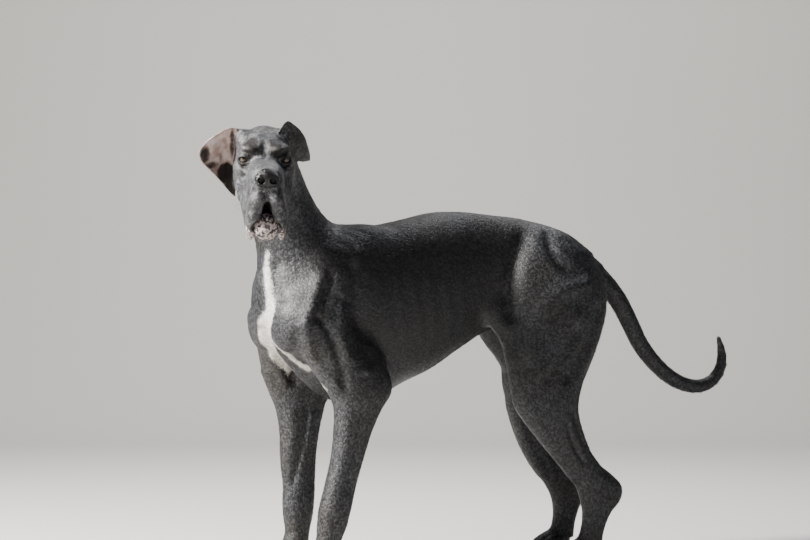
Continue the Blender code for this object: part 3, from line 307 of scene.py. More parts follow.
# Painted shade in the hollows and folds of the right ear: place and half size as left and up, and how dark
EAR_PAINTED_SHADES = [
    ((-0.085, -0.046), (0.030, 0.034), 0.95),
    ((-0.074, -0.076), (0.020, 0.034), 0.90),
    ((-0.134, -0.002), (0.020, 0.034), 0.62),
    ((-0.118, -0.026), (0.030, 0.013), 0.55),
    ((-0.098, 0.018), (0.030, 0.020), 0.32),
    ((-0.071, 0.024), (0.010, 0.060), 0.60),
    ((-0.102, -0.012), (0.014, 0.026), 0.34),
]

# White band down the breast and its branch: middle line and half width
BLAZE = [
    (0.435, 0.034, 0.769, 0.006), (0.435, 0.029, 0.732, 0.009), (0.437, 0.046, 0.693, 0.009),
    (0.437, 0.057, 0.659, 0.011), (0.438, 0.061, 0.631, 0.016), (0.440, 0.041, 0.608, 0.024),
    (0.422, -0.010, 0.576, 0.027), (0.401, -0.034, 0.545, 0.025), (0.366, -0.055, 0.512, 0.018),
    (0.345, -0.055, 0.488, 0.010), (0.338, -0.050, 0.470, 0.003),
]
BLAZE_TAIL = [
    (0.417, 0.010, 0.569, 0.012), (0.391, 0.030, 0.530, 0.010), (0.362, 0.045, 0.497, 0.009),
    (0.338, 0.075, 0.474, 0.008), (0.313, 0.115, 0.456, 0.003),
]


def through(knots, values, at):
    """Smooth curve through values at rising knots: a cubic between each pair, with averaged slopes."""
    knots = np.asarray(knots, float)
    values = np.asarray(values, float)
    spans = np.diff(knots)
    rises = np.diff(values) / spans
    slopes = np.empty_like(values)
    slopes[1:-1] = (rises[:-1] * spans[1:] + rises[1:] * spans[:-1]) / (spans[:-1] + spans[1:])
    slopes[0] = rises[0]
    slopes[-1] = rises[-1]
    at = np.clip(at, knots[0], knots[-1])
    i = np.clip(np.searchsorted(knots, at, side="right") - 1, 0, len(spans) - 1)
    h = spans[i]
    t = (at - knots[i]) / h
    rest = 1 - t
    ends = values[i] * (1 + 2 * t) * rest**2 + values[i + 1] * t**2 * (3 - 2 * t)
    return ends + h * t * rest * (slopes[i] * rest - slopes[i + 1] * t)


def finer(rows, count):
    """Rows of a table read at count even places along its length, on smooth curves."""
    rows = np.asarray(rows, float)
    steps = np.linalg.norm(np.diff(rows[:, :3], axis=0), axis=1)
    along = np.concatenate([[0.0], np.cumsum(steps)])
    at = np.linspace(0.0, along[-1], count)
    return np.stack([through(along, column, at) for column in rows.T], axis=1)


def joined(a, b, blend):
    """Union of two distances: the smaller one, less a fillet of about the size of blend."""
    if blend <= 0:
        return np.minimum(a, b)
    h = np.clip(0.5 + 0.5 * (b - a) / blend, 0.0, 1.0)
    return b + (a - b) * h - blend * h * (1.0 - h)


def step(low, high, x):
    """Smooth rise from 0 at low to 1 at high."""
    t = np.clip((x - low) / (high - low), 0.0, 1.0)
    return t * t * (3 - 2 * t)


def unit(rows, least=0.0):
    """Vectors along the last axis, each brought to a length of 1. One that is shorter than least is
    divided by least, so that it stays near zero."""
    return rows / np.maximum(np.linalg.norm(rows, axis=-1, keepdims=True), least)


class Clay:
    """A solid as a signed distance, built up in order from lumps that are added, cut away or drawn on."""

    def __init__(self):
        self.steps = []

    def add(self, shape, blend):
        """Join a shape on, with a fillet of about the size of blend."""
        self.steps.append((shape, blend, 1))
        return self

    def cut(self, shape, blend):
        """Cut a shape away, with its edge rounded by blend."""
        self.steps.append((shape, blend, -1))
        return self

    def draw(self, line, height):
        """Raise the skin along a line, or sink it where height is below zero."""
        self.steps.append((line, height, 0))
        return self

    def box(self):
        """The two corners around everything that was added."""
        lows = [shape[1] - blend for shape, blend, sign in self.steps if sign > 0]
        highs = [shape[2] + blend for shape, blend, sign in self.steps if sign > 0]
        return np.min(lows, axis=0), np.max(highs, axis=0)

    def __call__(self, p):
        d = np.full(len(p), 0.2)
        for (measure, low, high), blend, sign in self.steps:
            reach = 1.4 * blend + 0.02 if sign else 0.0
            near = np.all((p > low - reach) & (p < high + reach), axis=1)
            if not near.any():
                continue
            own = measure(p[near])
            if sign > 0:
                d[near] = joined(d[near], own, blend)
            elif sign < 0:
                d[near] = -joined(-d[near], own, blend)
            else:
                d[near] -= blend * own
        return d


def placed(clay, origin, axes):
    """A clay modelled in its own frame, set at origin with its axes as the rows of a matrix."""
    low, high = clay.box()
    span = np.array([low, high])
    corners = np.array([(span[i, 0], span[j, 1], span[k, 2]) for i in (0, 1) for j in (0, 1) for k in (0, 1)])
    corners = corners @ axes + origin
    return (lambda p: clay((p - origin) @ axes.T), corners.min(axis=0), corners.max(axis=0))


def turned(yaw, pitch=0.0, roll=0.0):
    """Rows: forward, left and up of a frame that is yawed about Z, dips its nose by pitch and rolls."""
    cy, sy = math.cos(yaw), math.sin(yaw)
    cp, sp = math.cos(pitch), math.sin(pitch)
    forward = np.array([cy * cp, sy * cp, -sp])
    left = np.array([-sy, cy, 0.0])
    up = np.cross(forward, left)
    cr, sr = math.cos(roll), math.sin(roll)
    return np.array([forward, left * cr + up * sr, up * cr - left * sr])


HEAD_AXES = turned(HEAD_YAW, HEAD_PITCH)


def ball(centre, radii, axes=None):
    """Ellipsoid: the distance is the scaled length times its ratio to the length of its slope."""
    centre = np.asarray(centre, float)
    radii = np.asarray(radii, float) * np.ones(3)
    axes = np.eye(3) if axes is None else axes

    def measure(p):
        q = (p - centre) @ axes.T
        k0 = np.linalg.norm(q / radii, axis=1)
        k1 = np.linalg.norm(q / radii**2, axis=1)
        return k0 * (k0 - 1.0) / np.maximum(k1, 1e-9)

    span = np.abs(axes.T) @ radii
    return measure, centre - span, centre + span


def hose(rows, count):
    """Tube along a path, in count stretches. Rows: centre, half depth, and half width along Y, which is
    the half depth where it is left out."""
    rows = finer(rows, count)
    if rows.shape[1] == 4:
        rows = np.column_stack([rows, rows[:, 3]])

    def measure(p):
        best = np.full(len(p), 9.0)
        for a, b in zip(rows[:-1], rows[1:]):
            along = b[:3] - a[:3]
            t = np.clip((p - a[:3]) @ along / (along @ along), 0.0, 1.0)
            q = p - a[:3] - t[:, None] * along
            deep = a[3] + (b[3] - a[3]) * t
            wide = a[4] + (b[4] - a[4]) * t
            across = q[:, 1]
            rest = np.sqrt(np.maximum((q * q).sum(axis=1) - across**2, 0.0))
            far = np.sqrt(across**2 + rest**2)
            ratio = np.sqrt((across / wide) ** 2 + (rest / deep) ** 2)
            best = np.minimum(best, far - far / np.maximum(ratio, 1e-6))
        return best

    reach = rows[:, 3:5].max(axis=1)[:, None]
    return measure, (rows[:, :3] - reach).min(axis=0), (rows[:, :3] + reach).max(axis=0)


def nearness(p, path):
    """Distance from each point to a path of straight stretches, and the share of its length there."""
    best = np.full(len(p), 9.0)
    share = np.zeros(len(p))
    count = len(path) - 1
    for i, (a, b) in enumerate(zip(path[:-1], path[1:])):
        along = b - a
        t = np.clip((p - a) @ along / (along @ along), 0.0, 1.0)
        far = np.linalg.norm(p - a - t[:, None] * along, axis=1)
        closer = far < best
        best = np.where(closer, far, best)
        share = np.where(closer, (i + t) / count, share)
    return best, share


def line(points, width):
    """A line on the surface: 1 on it, falling as a bell curve of the distance, and fading at its ends."""
    path = finer(points, 4 * len(points))

    def measure(p):
        far, share = nearness(p, path)
        return np.exp(-((far / width) ** 2)) * step(0.0, 0.15, share) * step(1.0, 0.85, share)

    return measure, path.min(axis=0) - 2.4 * width, path.max(axis=0) + 2.4 * width


def flank_line(points, width, side):
    """The same line drawn on one flank: its distance is read in the X-Z plane only."""
    path = finer([(x, 0.0, z) for x, z in points], 4 * len(points))

    def measure(p):
        far, share = nearness(p * (1, 0, 1), path)
        beside = step(0.030, 0.060, p[:, 1] * side)
        return beside * np.exp(-((far / width) ** 2)) * step(0.0, 0.15, share) * step(1.0, 0.85, share)

    ends = sorted((0.03 * side, 0.25 * side))
    low, high = path.min(axis=0) - 2.4 * width, path.max(axis=0) + 2.4 * width
    low[1], high[1] = ends
    return measure, low, high


def ear_line(points, width):
    """A fold of the right ear: its distance is read in the plane across the head."""
    path = finer([(0.0, left, up) for left, up in points], 4 * len(points))

    def measure(p):
        q = (p - EYE_LINE) @ HEAD_AXES.T
        far, share = nearness(q * (0, 1, 1), path)
        beside = step(-0.062, -0.072, q[:, 1])
        return beside * np.exp(-((far / width) ** 2)) * step(0.0, 0.2, share) * step(1.0, 0.8, share)

    corners = np.array([(f, left, up) for f in (-0.13, -0.03) for left, up in points]) @ HEAD_AXES + EYE_LINE
    return measure, corners.min(axis=0) - 2 * width, corners.max(axis=0) + 2 * width


def rounded(a, b, n):
    """Length of (a, b) under the power n: 1 on a superellipse when a and b are shares of its radii."""
    return (np.abs(a) ** n + np.abs(b) ** n) ** (1.0 / n)


def trunk(rows, crown=0.56, upper=2.15, lower=1.85):
    """Body along X. Rows: place, top, bottom, half width. Each section is widest at the share crown
    of its height, and a superellipse of one power above and another below."""
    knots = rows[:, 0]

    def measure(p):
        x = np.clip(p[:, 0], knots[0], knots[-1])
        top, bottom, half = (through(knots, rows[:, i], x) for i in (1, 2, 3))
        middle = bottom + crown * (top - bottom)
        y, z = p[:, 1], p[:, 2] - middle
        above = rounded(y / half, z / (top - middle), upper)
        below = rounded(y / half, z / (middle - bottom), lower)
        ratio = np.where(z > 0, above, below)
        far = np.hypot(y, z)
        d = far - far / np.maximum(ratio, 1e-6)
        past = p[:, 0] - x
        return np.where(past == 0.0, d, np.hypot(np.maximum(d, 0.0), past))

    half = rows[:, 3].max()
    low = np.array([knots[0], -half, rows[:, 2].min()])
    high = np.array([knots[-1], half, rows[:, 1].max()])
    return measure, low, high


def limb(rows, sign):
    """Leg along Z, each section a superellipse. Rows: height, front edge, rear edge, distance from the
    midplane, half width."""
    power = 2.2
    rows = rows[::-1]
    knots = rows[:, 0]
    slope = np.gradient((rows[:, 1] + rows[:, 2]) / 2, knots)

    def measure(p):
        z = np.clip(p[:, 2], knots[0], knots[-1])
        front, rear, out, half = (through(knots, rows[:, i], z) for i in (1, 2, 3, 4))
        x = p[:, 0] - (front + rear) / 2
        y = p[:, 1] - sign * out
        ratio = rounded(x / ((front - rear) / 2), y / half, power)
        far = np.hypot(x, y)
        d = (far - far / np.maximum(ratio, 1e-6)) / np.sqrt(1.0 + np.interp(z, knots, slope) ** 2)
        past = p[:, 2] - z
        return np.where(past == 0.0, d, np.hypot(np.maximum(d, 0.0), past))

    outer = rows[:, 3].max() + rows[:, 4].max()
    inner = rows[:, 3].min() - rows[:, 4].max()
    sides = sorted((sign * inner, sign * outer))
    low = np.array([rows[:, 2].min(), sides[0], knots[0]])
    high = np.array([rows[:, 1].max(), sides[1], knots[-1]])
    return measure, low, high


def mirrored(rows, sign):
    """Rows of points with Y turned to the side of sign."""
    rows = np.array(rows, float)
    rows[:, 1] *= sign
    return rows


def paw_axes(name):
    """A paw's frame: each one toes out by the same angle."""
    return turned(PAW_TURN if name.startswith("left") else -PAW_TURN)


# The lumps of each part, in the order in which they are laid on

def paw_clay(length, width):
    """Arched paw in its own frame: forward, left and up from the middle of its sole."""
    clay = Clay()
    clay.add(ball((-0.10 * length, 0, 0.042), (0.42 * length, 0.36 * width, 0.032)), 0.01)
    for place, back in TOES:
        y = place * TOE_PITCH * width / PAW_WIDTH
        reach = 0.5 * length - back
        toe = [
            (reach - 0.058, y * 0.80, 0.046, 0.014, 0.012),
            (reach - 0.034, y * 0.96, 0.046, 0.0150, 0.0118),
            (reach - 0.016, y * 1.02, 0.029, 0.0140, 0.0112),
            (reach - 0.010, y * 1.02, 0.014, 0.0125, 0.0105),
        ]
        clay.add(hose(toe, 7), 0.005)
        clay.add(ball((reach - 0.016, y, 0.006), (0.015, 0.0105, 0.010)), 0.003)
    clay.add(ball((-0.16 * length, 0, 0.012), (0.026, 0.030, 0.016)), 0.006)
    return clay


def head_clay():
    """Head without the ears and the lower jaw."""
    clay = Clay()
    clay.add(ball((-0.078, 0, -0.012), (0.082, 0.062, 0.067)), 0.01)
    clay.add(ball((-0.128, 0, -0.002), (0.040, 0.040, 0.050)), 0.03)
    clay.add(ball((-0.038, 0, 0.010), (0.050, 0.050, 0.038)), 0.02)
    clay.add(trunk(MUZZLE, crown=0.60, upper=3.0, lower=2.8), 0.018)
    clay.add(ball((-0.050, 0, -0.080), (0.060, 0.044, 0.042)), 0.03)
    for side in (1, -1):
        # Ear's base, cheek, cheek bone and brow
        clay.add(ball((-0.086, side * 0.047, 0.032), (0.034, 0.019, 0.024)), 0.02)
        clay.add(ball((-0.056, side * 0.042, -0.050), (0.058, 0.027, 0.046)), 0.02)
        clay.add(ball((-0.024, side * 0.050, -0.022), (0.040, 0.020, 0.019)), 0.015)
        clay.add(ball((-0.006, side * 0.034, 0.022), (0.022, 0.022, 0.011), turned(side * -0.4)), 0.016)
        # Flesh above the mouth's corner, and the front of the upper lip
        clay.add(ball((0.026, side * 0.029, -0.098), (0.066, 0.021, 0.036)), 0.02)
        clay.add(ball((0.128, side * 0.018, -0.068), (0.025, 0.019, 0.028)), 0.010)
        # Upper lip that hangs as a deep lobe past the lower jaw
        clay.add(hose(mirrored(LIP, side), 14), 0.012)
    furrow = [
        (0.020, 0, 0.014, 0.005), (-0.006, 0, 0.044, 0.005),
        (-0.060, 0, 0.062, 0.004), (-0.110, 0, 0.062, 0.002),
    ]
    clay.cut(hose(furrow, 8), 0.010)
    # Cleft below the nose that widens to the dark wedge of the mouth
    cleft = [
        (0.160, 0, -0.048, 0.0016), (0.158, 0, -0.060, 0.0030),
        (0.153, 0, -0.073, 0.0052), (0.147, 0, -0.086, 0.0076),
    ]
    clay.cut(hose(cleft, 8), 0.004)
    clay.cut(ball((0.128, 0, -0.102), (0.036, 0.0105, 0.034)), 0.004)
    # Room for the chin, which stands forward between the lips
    clay.cut(ball((0.134, 0, -0.133), (0.028, 0.0325, 0.0240)), 0.004)
    # Hollows beside the bridge, then eyelids: a shell round each eye with an almond opening
    for side in (1, -1):
        clay.cut(ball((0.038, side * 0.0530, 0.004), (0.046, 0.0190, 0.0200)), 0.014)
        gaze = turned(side * 0.26, 0.03, side * 0.10)
        eye = EYE_SEAT * (1, side, 1)
        clay.add(ball(eye, (EYE_RADIUS + 0.0036,) * 3), 0.012)
        for points, width, height in HEAD_LINES:
            clay.draw(line(mirrored(points, side), width), height)
        clay.cut(ball(eye + gaze[0] * 0.0165 - gaze[2] * 0.0006, (0.0125, 0.0118, 0.0062), gaze), 0.0015)
        crease = [(0.014, 0.034, 0.0090), (0.014, 0.045, 0.0140), (0.004, 0.057, 0.0095)]
        clay.draw(line(mirrored(crease, side), 0.0024), -0.0024)
        clay.cut(ball(eye, (EYE_RADIUS - 0.0016,) * 3), 0.0)
    return clay


def nose_clay():
    """Nose leather in the head's frame, with round nostrils that trail a slit outwards."""
    clay = Clay()
    clay.add(ball((0.138, 0, -0.0210), (0.0205, 0.0272, 0.0230)), 0.0)
    for side in (1, -1):
        clay.add(ball((0.1465, side * 0.0158, -0.0230), (0.0115, 0.0113, 0.0145)), 0.004)
        clay.cut(ball((0.1600, side * 0.0130, -0.0230), (0.0140, 0.0076, 0.0082)), 0.002)
        clay.cut(ball((0.1530, side * 0.0242, -0.0285), (0.0110, 0.0052, 0.0025)), 0.002)
    groove = [(0.1620, 0, -0.006, 0.0010), (0.1600, 0, -0.024, 0.0014), (0.1560, 0, -0.040, 0.0024)]
    clay.cut(hose(groove, 6), 0.003)
    return clay


def jaw_clay():
    """Lower jaw in the head's frame, with a round chin between the lips."""
    clay = Clay()
    clay.add(hose(JAW_ROWS, 10), 0.01)
    clay.add(ball((0.121, 0, -0.1355), (0.0260, 0.0310, 0.0270)), 0.010)
    clay.add(ball((0.116, 0, -0.121), (0.0230, 0.0220, 0.0190)), 0.012)
    clay.cut(hose([(0.143, 0, -0.106, 0.003), (0.141, 0, -0.125, 0.002)], 4), 0.006)
    for side in (1, -1):
        for points, width, height in CHIN_LINES:
            clay.draw(line(mirrored(points, side), width), height)
    return clay


def moved(points):
    """A line of the left flank as it lies on the right one, whose foreleg stands further forward and
    whose hind leg stands further back: the lower a point, the more it moves."""
    line_points = []
    for x, z in points:
        if points[0][0] > 0:
            away = float(step(0.62, 0.42, z)) * FORE_MOVE
        else:
            away = float(step(0.70, 0.50, z)) * float(0.25 + 0.75 * step(0.25, 0.42, z)) * HIND_MOVE
        line_points.append((x + away, z))
    return line_points


def body_clay():
    """Trunk, neck, legs and the tail, with the lines of the muscles."""
    clay = Clay()
    clay.add(trunk(TRUNK), 0.0)
    clay.add(ball((0.385, 0.0, 0.655), (0.055, 0.075, 0.075)), 0.05)
    for side in (1, -1):
        fore = LEFT_FORELEG if side > 0 else RIGHT_FORELEG
        shift = 0.0 if side > 0 else -HIND_STEP
        # Shoulder blade, upper arm and breast muscle
        clay.add(hose(mirrored([
            (0.190, 0.050, 0.775, 0.050, 0.030),
            (0.270, 0.085, 0.700, 0.070, 0.036),
            (0.345, 0.100, 0.610, 0.066, 0.040),
        ], side), 8), 0.045)
        clay.add(hose(mirrored([
            (0.350, 0.098, 0.605, 0.060, 0.040),
            (0.295, 0.110, 0.540, 0.066, 0.040),
            ((fore[3, 1] + fore[3, 2]) / 2 - 0.005, 0.113, 0.455, 0.058, 0.036),
        ], side), 8), 0.040)
        clay.add(ball((0.385, side * 0.060, 0.600), (0.048, 0.046, 0.062)), 0.04)
        clay.add(limb(fore, side), 0.030)
        clay.add(ball((fore[3, 2] + 0.014, side * 0.113, 0.452), (0.024, 0.018, 0.026)), 0.03)
        # Haunch and thigh
        clay.add(ball((-0.300 + shift, side * 0.062, 0.700), (0.115, 0.058, 0.120)), 0.05)
        clay.add(ball((-0.215 + shift * 0.5, side * 0.070, 0.640), (0.050, 0.034, 0.090)), 0.05)
        clay.add(limb(LEFT_HINDLEG if side > 0 else RIGHT_HINDLEG, side), 0.045)
        # Fold of skin from the flank to the knee
        clay.add(hose(mirrored([
            (-0.150 + shift, 0.066, 0.620, 0.030, 0.018),
            (-0.182 + shift, 0.078, 0.570, 0.026, 0.016),
            (-0.200 + shift * 2, 0.088, 0.520, 0.020, 0.014),
        ], side), 6), 0.04)
    clay.add(hose(NECK, 14), 0.050)
    clay.add(hose(TAIL, 30), 0.030)
    for side in (1, -1):
        for points, width, height in FLANK_LINES:
            own = points if side > 0 else moved(points)
            clay.draw(flank_line(own, width, side), height * FLANK_RELIEF)
        for x in RIBS:
            rib = [(x + 0.015, 0.735), (x, 0.65), (x - 0.020, 0.56)]
            clay.draw(flank_line(rib, RIB_WIDTH, side), RIB_RELIEF)
    return clay


def leaf(edges, across, along):
    """Points over an ear: the sheet between its four edges, hollowed or bulged by its cup."""
    u = np.linspace(0, 1, along)[:, None, None]
    v = np.linspace(0, 1, across)[None, :, None]
    upper, lower = finer(edges["upper"], along)[:, None, :], finer(edges["lower"], along)[:, None, :]
    root, rim = finer(edges["root"], across)[None, :, :], finer(edges["rim"], across)[None, :, :]
    inner_end = (1 - v) * root[:, :1] + v * root[:, -1:]
    outer_end = (1 - v) * rim[:, :1] + v * rim[:, -1:]
    corners = (1 - u) * inner_end + u * outer_end
    points = (1 - v) * upper + v * lower + (1 - u) * root + u * rim - corners
    hollow = np.sin(np.pi * v) * np.sin(np.pi * np.clip(u * 0.9, 0, 1)) ** 0.8
    points[..., 0] += edges["cup"] * hollow[..., 0]
    return points


def ear_shell(edges):
    """Thin shell round the leaf: the distance to the nearest sample of the sheet, read along that
    sample's normal and past its edge, less half of the thickness there."""
    across, along = ((56, 64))
    points = leaf(edges, across, along)
    normals = unit(np.cross(np.gradient(points, axis=0), np.gradient(points, axis=1)))
    v = np.linspace(0, 1, across)[None, :] * np.ones((along, 1))
    u = np.linspace(0, 1, along)[:, None] * np.ones((1, across))
    thin = 1.0 - 0.42 * np.maximum.reduce([step(0.80, 1.0, u), step(0.16, 0.0, v), step(0.84, 1.0, v)])
    half = (EAR_THICKNESS / 2 * thin + SKIN_DEPTH).ravel()
    points = (points.reshape(-1, 3) @ HEAD_AXES + EYE_LINE).astype(np.float32)
    normals = (normals.reshape(-1, 3) @ HEAD_AXES).astype(np.float32)
    sizes = (points**2).sum(axis=1)
    spread = 0.0012
    batch = 6000

    def measure(p):
        d = np.empty(len(p))
        for start in range(0, len(p), batch):
            q = p[start : start + batch].astype(np.float32)
            near = np.argmin(sizes[None, :] - 2 * q @ points.T, axis=1)
            away = q - points[near]
            off = (away * normals[near]).sum(axis=1)
            along_sheet = np.sqrt(np.maximum((away**2).sum(axis=1) - off**2, 0.0))
            d[start : start + batch] = np.hypot(off, np.maximum(along_sheet - spread, 0.0)) - half[near]
        return d

    return measure, points.min(axis=0).astype(float) - 0.006, points.max(axis=0).astype(float) + 0.006


# Meshing

def grown(values, counts):
    """Coarse grid values spread to a finer grid by straight interpolation along each axis."""
    for axis, count in enumerate(counts):
        at = np.linspace(0, values.shape[axis] - 1, count)
        i = np.minimum(at.astype(int), values.shape[axis] - 2)
        shape = [1, 1, 1]
        shape[axis] = count
        t = (at - i).reshape(shape)
        values = np.take(values, i, axis=axis) * (1 - t) + np.take(values, i + 1, axis=axis) * t
    return values


def sampled(field, low, cell, counts):
    """The field on a grid: first on every fourth point, then exactly near the surface."""
    axes = [low[i] + cell * np.arange(counts[i]) for i in range(3)]
    rough = [np.linspace(axes[i][0], axes[i][-1], max(counts[i] // 4 + 1, 3)) for i in range(3)]
    grid = np.stack(np.meshgrid(*rough, indexing="ij"), axis=-1)
    values = grown(field(grid.reshape(-1, 3)).reshape(grid.shape[:3]), counts)
    near = np.argwhere(np.abs(values) < 3.8 * cell)
    values[tuple(near.T)] = field(low + cell * near)
    return values


def surface_net(field, low, high, cell):
    """Mesh of field = 0: one vertex in each cell that the surface crosses, at the mean of the
    crossings on the cell's edges, and one quad for each grid edge that it crosses."""
    low = np.asarray(low, float) - 1.5 * cell
    counts = np.ceil((np.asarray(high, float) + 1.5 * cell - low) / cell).astype(int) + 1
    values = sampled(field, low, cell, counts)
    for axis in range(3):
        ends = [slice(None)] * 3
        for end in (0, -1):
            ends[axis] = end
            values[tuple(ends)] = np.maximum(values[tuple(ends)], 0.5 * cell)
    inside = values < 0
    shape = tuple(counts - 1)
    total = np.zeros(shape + (3,))
    hits = np.zeros(shape)
    corners = [(i, j, k) for i in (0, 1) for j in (0, 1) for k in (0, 1)]
    for a in corners:
        for axis in range(3):
            if a[axis]:
                continue
            b = tuple(1 if i == axis else a[i] for i in range(3))
            at_a = tuple(slice(a[i], a[i] + shape[i]) for i in range(3))
            at_b = tuple(slice(b[i], b[i] + shape[i]) for i in range(3))
            va, vb = values[at_a], values[at_b]
            crossed = inside[at_a] != inside[at_b]
            share = np.where(crossed, va / np.where(crossed, va - vb, 1.0), 0.0)
            for i in range(3):
                part = float(a[i]) + (share if i == axis else 0.0)
                total[..., i] += np.where(crossed, part, 0.0)
            hits += crossed
    live = hits > 0
    number = np.full(shape, -1)
    number[live] = np.arange(live.sum())
    points = low + cell * (np.argwhere(live) + total[live] / hits[live][:, None])
    quads = []
    for axis in range(3):
        one, two = (axis + 1) % 3, (axis + 2) % 3
        lower = [slice(1, -1)] * 3
        upper = [slice(1, -1)] * 3
        lower[axis], upper[axis] = slice(0, -1), slice(1, None)
        start, end = inside[tuple(lower)], inside[tuple(upper)]
        for flip in (False, True):
            where = np.argwhere(end & ~start if flip else start & ~end)
            where[:, one] += 1
            where[:, two] += 1
            ring = []
            for da, db in ((1, 1), (0, 1), (0, 0), (1, 0)):
                at = where.copy()
                at[:, one] -= da
                at[:, two] -= db
                ring.append(number[tuple(at.T)])
            quad = np.stack(ring, axis=1)
            quads.append(quad[:, ::-1] if flip else quad)
    return points, np.concatenate(quads)


def slope_of(field, p, reach):
    """Slope of the field by central differences."""
    moves = np.eye(3) * reach
    return np.stack([(field(p + move) - field(p - move)) / (2 * reach) for move in moves], axis=1)


def settled(field, p, cell, rounds=2):
    """Points moved onto field = 0 along its slope, by at most half a cell a round."""
    for _ in range(rounds):
        slope = slope_of(field, p, 0.25 * cell)
        size = np.maximum((slope**2).sum(axis=1), 0.05)
        move = np.clip(field(p) / size, -0.5 * cell, 0.5 * cell)
        p = p - slope * move[:, None]
    return p


def mesh_of(name, points, faces):
    """A mesh of points and faces, given as whole arrays."""
    mesh = bpy.data.meshes.new(name)
    mesh.from_pydata(points.tolist(), [], faces.tolist())
    mesh.update()
    return mesh


def shown(name, mesh, slot, *nodes):
    """An object of a mesh in the dog's own place, moved to the frame's, that stands for CAD nodes."""
    mesh.transform(Matrix.Translation(Vector(SHIFT)))
    mesh.shade_smooth()
    thing = bpy.data.objects.new(name, mesh)
    bpy.context.scene.collection.objects.link(thing)
    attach(thing, "root")
    if nodes:
        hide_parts(*nodes)
    return thing


def places_of(mesh):
    """The mesh's vertices as an array."""
    points = np.empty(len(mesh.vertices) * 3, np.float32)
    mesh.vertices.foreach_get("co", points)
    return points.reshape(-1, 3).astype(float)


def colours(mesh, name, values):
    """Four values at each vertex, kept as a colour attribute."""
    layer = mesh.color_attributes.new(name, "FLOAT_COLOR", "POINT")
    layer.data.foreach_set("color", np.asarray(values, np.float32).ravel())


def open_part(field, low, high, cell, planes, limit=0):
    """Net of the field on the side of each plane that its normal points away from, left open there,
    and thinned to about a limit of triangles."""
    planes = [(np.asarray(point, float), np.asarray(normal, float)) for point, normal in planes]

    def past(p):
        return np.max([(p - point) @ normal for point, normal in planes], axis=0)

    points, faces = surface_net(lambda p: np.maximum(field(p), past(p) - 2.2 * cell), low, high, cell)
    inner = past(points) < 1.2 * cell
    points[inner] = settled(field, points[inner], cell)
    mesh = mesh_of("part", points, faces)
    bm = bmesh.new()
    bm.from_mesh(mesh)
    for point, normal in planes:
        geometry = bm.verts[:] + bm.edges[:] + bm.faces[:]
        bmesh.ops.bisect_plane(
            bm, geom=geometry, dist=0.0001, plane_co=point, plane_no=normal, clear_outer=True
        )
    bm.to_mesh(mesh)
    bm.free()
    count = 2 * len(mesh.polygons)
    if limit and count > limit:
        thing = bpy.data.objects.new("part", mesh)
        bpy.context.scene.collection.objects.link(thing)
        thing.modifiers.new("thin", "DECIMATE").ratio = limit / count
        graph = bpy.context.evaluated_depsgraph_get()
        finer_mesh, mesh = mesh, bpy.data.meshes.new_from_object(thing.evaluated_get(graph))
        bpy.data.objects.remove(thing)
        bpy.data.meshes.remove(finer_mesh)
    return mesh


def sewn(parts, places):
    """One closed mesh of open parts: the two rims near each place are bridged."""
    bm = bmesh.new()
    for part in parts:
        bm.from_mesh(part)
        bpy.data.meshes.remove(part)
    for centre, reach in places:
        centre = Vector(centre)
        rim = [edge for edge in bm.edges if edge.is_boundary and (edge.verts[0].co - centre).length < reach]
        bmesh.ops.bridge_loops(bm, edges=rim)
    holes = [edge for edge in bm.edges if edge.is_boundary]
    if holes:
        bmesh.ops.holes_fill(bm, edges=holes, sides=0)
    bmesh.ops.recalc_face_normals(bm, faces=bm.faces)
    mesh = bpy.data.meshes.new("skin")
    bm.to_mesh(mesh)
    bm.free()
    return mesh


def whole_clay():
    """The body, then the head, the lower jaw, the ears and the paws, and the folds of the right ear."""
    body = body_clay()
    whole = Clay().add((body, *body.box()), 0.0).add(HEAD, 0.045).add(JAW, 0.003)
    for ear in EARS:
        whole.add(ear, 0.009)
    for name, (place, length, width) in PAWS.items():
        whole.add(placed(paw_clay(length, width), np.array(place), paw_axes(name)), 0.012)
    for points, width, height in EAR_LINES:
        whole.draw(ear_line(points, width), height)
    return whole


HEAD = placed(head_clay(), EYE_LINE, HEAD_AXES)
JAW = placed(jaw_clay(), EYE_LINE, HEAD_AXES)
EARS = [ear_shell(LEFT_EAR), ear_shell(RIGHT_EAR)]
WHOLE = whole_clay()

eye_low, eye_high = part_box("eye_left")
SHIFT = np.array((eye_low + eye_high) / 2) - (EYE_LINE + EYE_SEAT @ HEAD_AXES)


def skin_field(p):
    """Distance to the skin: the solid, sunk by the depth of its coat, and flat at the soles."""
    return np.maximum(WHOLE(p) + SKIN_DEPTH * step(0.003, 0.020, p[:, 2]), -p[:, 2])


